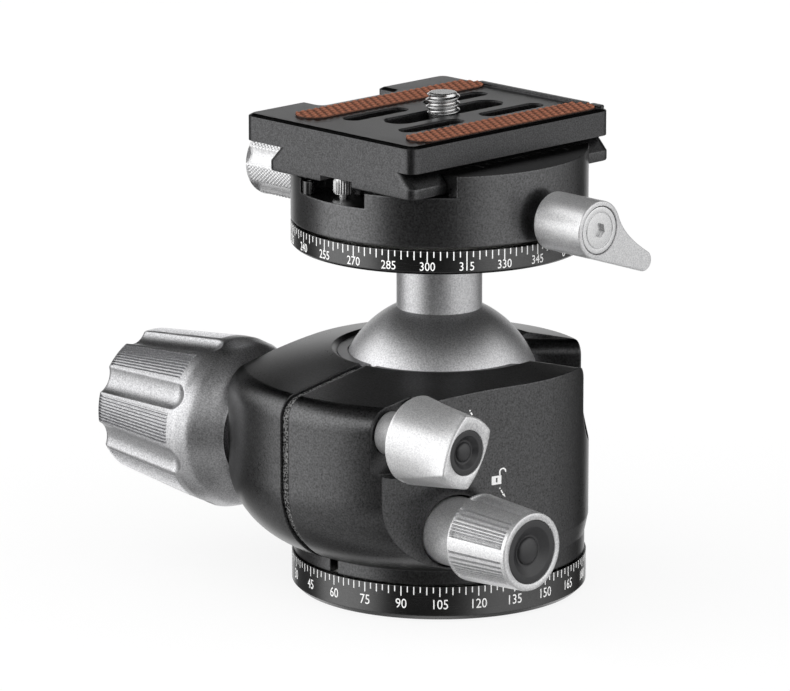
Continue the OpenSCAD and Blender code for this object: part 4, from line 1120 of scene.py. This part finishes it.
# ---- Floor, light and camera --------------------------------------------------------------
# A plain pale floor just under the base, a room that is white to the camera and holds soft
# boxes that metal reflects, three broad lamps that lift matt surfaces, and one camera.
floor_half, floor_z = 6.0, -0.0002
floor_mesh = bpy.data.meshes.new("floor")
floor_mesh.from_pydata([(-floor_half, -floor_half, floor_z), (floor_half, -floor_half, floor_z),
                        (floor_half, floor_half, floor_z), (-floor_half, floor_half, floor_z)],
                       [], [(0, 1, 2, 3)])
floor = bpy.data.objects.new("floor", floor_mesh)
bpy.context.scene.collection.objects.link(floor)
pale_floor = bpy.data.materials.new("pale_floor")
pale_floor.use_nodes = True
pale_floor.node_tree.nodes.clear()
paper = Shade(pale_floor.node_tree)
pale = paper.noise(paper.place_mm(), 0.02).tint((0.93, 0.93, 0.93), (0.95, 0.95, 0.95))
matt = paper.node("BsdfDiffuse", {}, {"Color": pale})
glow = paper.node("Emission", {}, {"Color": (1, 1, 1, 1), "Strength": 1.0})
whitened = paper.node("MixShader", {}, {0: paper.node("LightPath") * 0.85, 1: matt, 2: glow})
pale_floor.node_tree.links.new(whitened.socket,
                               pale_floor.node_tree.nodes.new("ShaderNodeOutputMaterial").inputs[0])
floor_mesh.materials.append(pale_floor)
floor.visible_glossy = False

world = bpy.data.worlds.new("room")
world.use_nodes = True
bpy.context.scene.world = world
tree = world.node_tree
tree.nodes.clear()
room = Shade(tree)
ray = room.node("TexCoord")


def along_ray(towards):
    return room.node("VectorMath", {"operation": "DOT_PRODUCT"}, {0: ray, 1: towards}, 1)


facing = math.radians(-44.3)
ahead = along_ray((math.cos(facing), math.sin(facing), 0))
aside = along_ray((-math.sin(facing), math.cos(facing), 0))
height = room.node("SeparateXYZ", {}, {0: ray}, 2)
# Bearing 0.5 is the front of the room. Smaller values lie to its left, seen from the front.
bearing = room.maths("ARCTAN2", aside, ahead) * (1 / math.tau) + 0.5
at_sides = bearing.ramp(
    (0.19, 0.08), (0.225, 0.95), (0.25, 1.0), (0.33, 0.88), (0.345, 0.8), (0.385, 0.04), (0.42, 0.02),
    (0.52, 0.03), (0.555, 0.16), (0.59, 0.5), (0.64, 0.6), (0.75, 0.52), (0.8, 0.34), (0.87, 0.08), (0.89, 0.03))
high_up = bearing.ramp(
    (0.11, 0.0), (0.135, 0.12), (0.17, 0.6), (0.22, 0.72), (0.33, 0.7), (0.385, 0.58), (0.42, 0.32),
    (0.47, 0.15), (0.52, 0.16), (0.555, 0.36), (0.61, 0.54), (0.75, 0.52), (0.8, 0.34), (0.85, 0.0))
raised_share = height.ramp((0.0, 0.0), (0.35, 1.0))
boxes = at_sides * (1 - raised_share) + high_up * raised_share
by_height = (height * 0.5 + 0.5).ramp((0.1, 0.2), (0.3, 0.36), (0.38, 0.58), (0.5, 0.75), (0.66, 1.05),
                                      (0.8, 1.1), (0.87, 0.2), (0.925, 0.03), (1.0, 0.1))
backdrop = (bearing.ramp((0.05, 1.0), (0.085, 0.0), (0.92, 0.0), (0.95, 1.0))
            * height.ramp((0.0, 1.0), (0.2, 1.0), (0.26, 0.0)))
from_floor = (height * -1).ramp((0.35, 0.0), (0.55, 0.8), (0.66, 0.7), (0.76, 0.25), (1.0, 0.12))
box_level, floor_level = 3.4, 0.8
lit = room.node("Background", {}, {"Strength": boxes * by_height * box_level * (1 - from_floor)
                                   + from_floor * floor_level})
white = room.node("Background", {}, {"Strength": 1.0, "Color": (1, 1, 1, 1)})
by_camera = room.node("LightPath")
by_glossy = room.node("LightPath", out=3)
by_transmission = room.node("LightPath", out=6)
seen_white = by_camera + (by_glossy + by_transmission) * backdrop
both = room.node("MixShader", {}, {0: seen_white.maths("MINIMUM", seen_white, 1.0), 1: lit, 2: white})
tree.links.new(both.socket, tree.nodes.new("ShaderNodeOutputWorld").inputs[0])


def soft_fill(name, toward, level, spread):
    """Broad lamp that lifts matt surfaces to a plain level and leaves no mark in metal."""
    lamp_data = bpy.data.lights.new(name, "SUN")
    lamp_data.energy = level * math.pi
    lamp_data.angle = math.radians(spread)
    lamp = bpy.data.objects.new(name, lamp_data)
    bpy.context.scene.collection.objects.link(lamp)
    lamp.rotation_mode = "QUATERNION"
    lamp.rotation_quaternion = Vector(toward).to_track_quat("-Z", "Y")
    lamp.visible_glossy = False


soft_fill("fill_top", (0.1, 0.1, -1), 0.35, 120)
soft_fill("fill_left", (0.1, 1, -0.6), 0.35, 90)
soft_fill("fill_right", (-1, -0.05, -0.5), 0.3, 90)

camera_data = bpy.data.cameras.new("camera")
camera_data.lens = 275.95
camera_data.sensor_width = 36.0
camera_data.clip_start, camera_data.clip_end = 0.01, 50.0
camera = bpy.data.objects.new("camera", camera_data)
bpy.context.scene.collection.objects.link(camera)
camera.location = Vector((775.4, -767.9, 315.65)) * MM
camera.rotation_mode = "QUATERNION"
camera.rotation_quaternion = Vector((-0.6947, 0.6777, -0.2406)).to_track_quat("-Z", "Y")
bpy.context.scene.camera = camera
bpy.context.scene.view_settings.view_transform = "Standard"
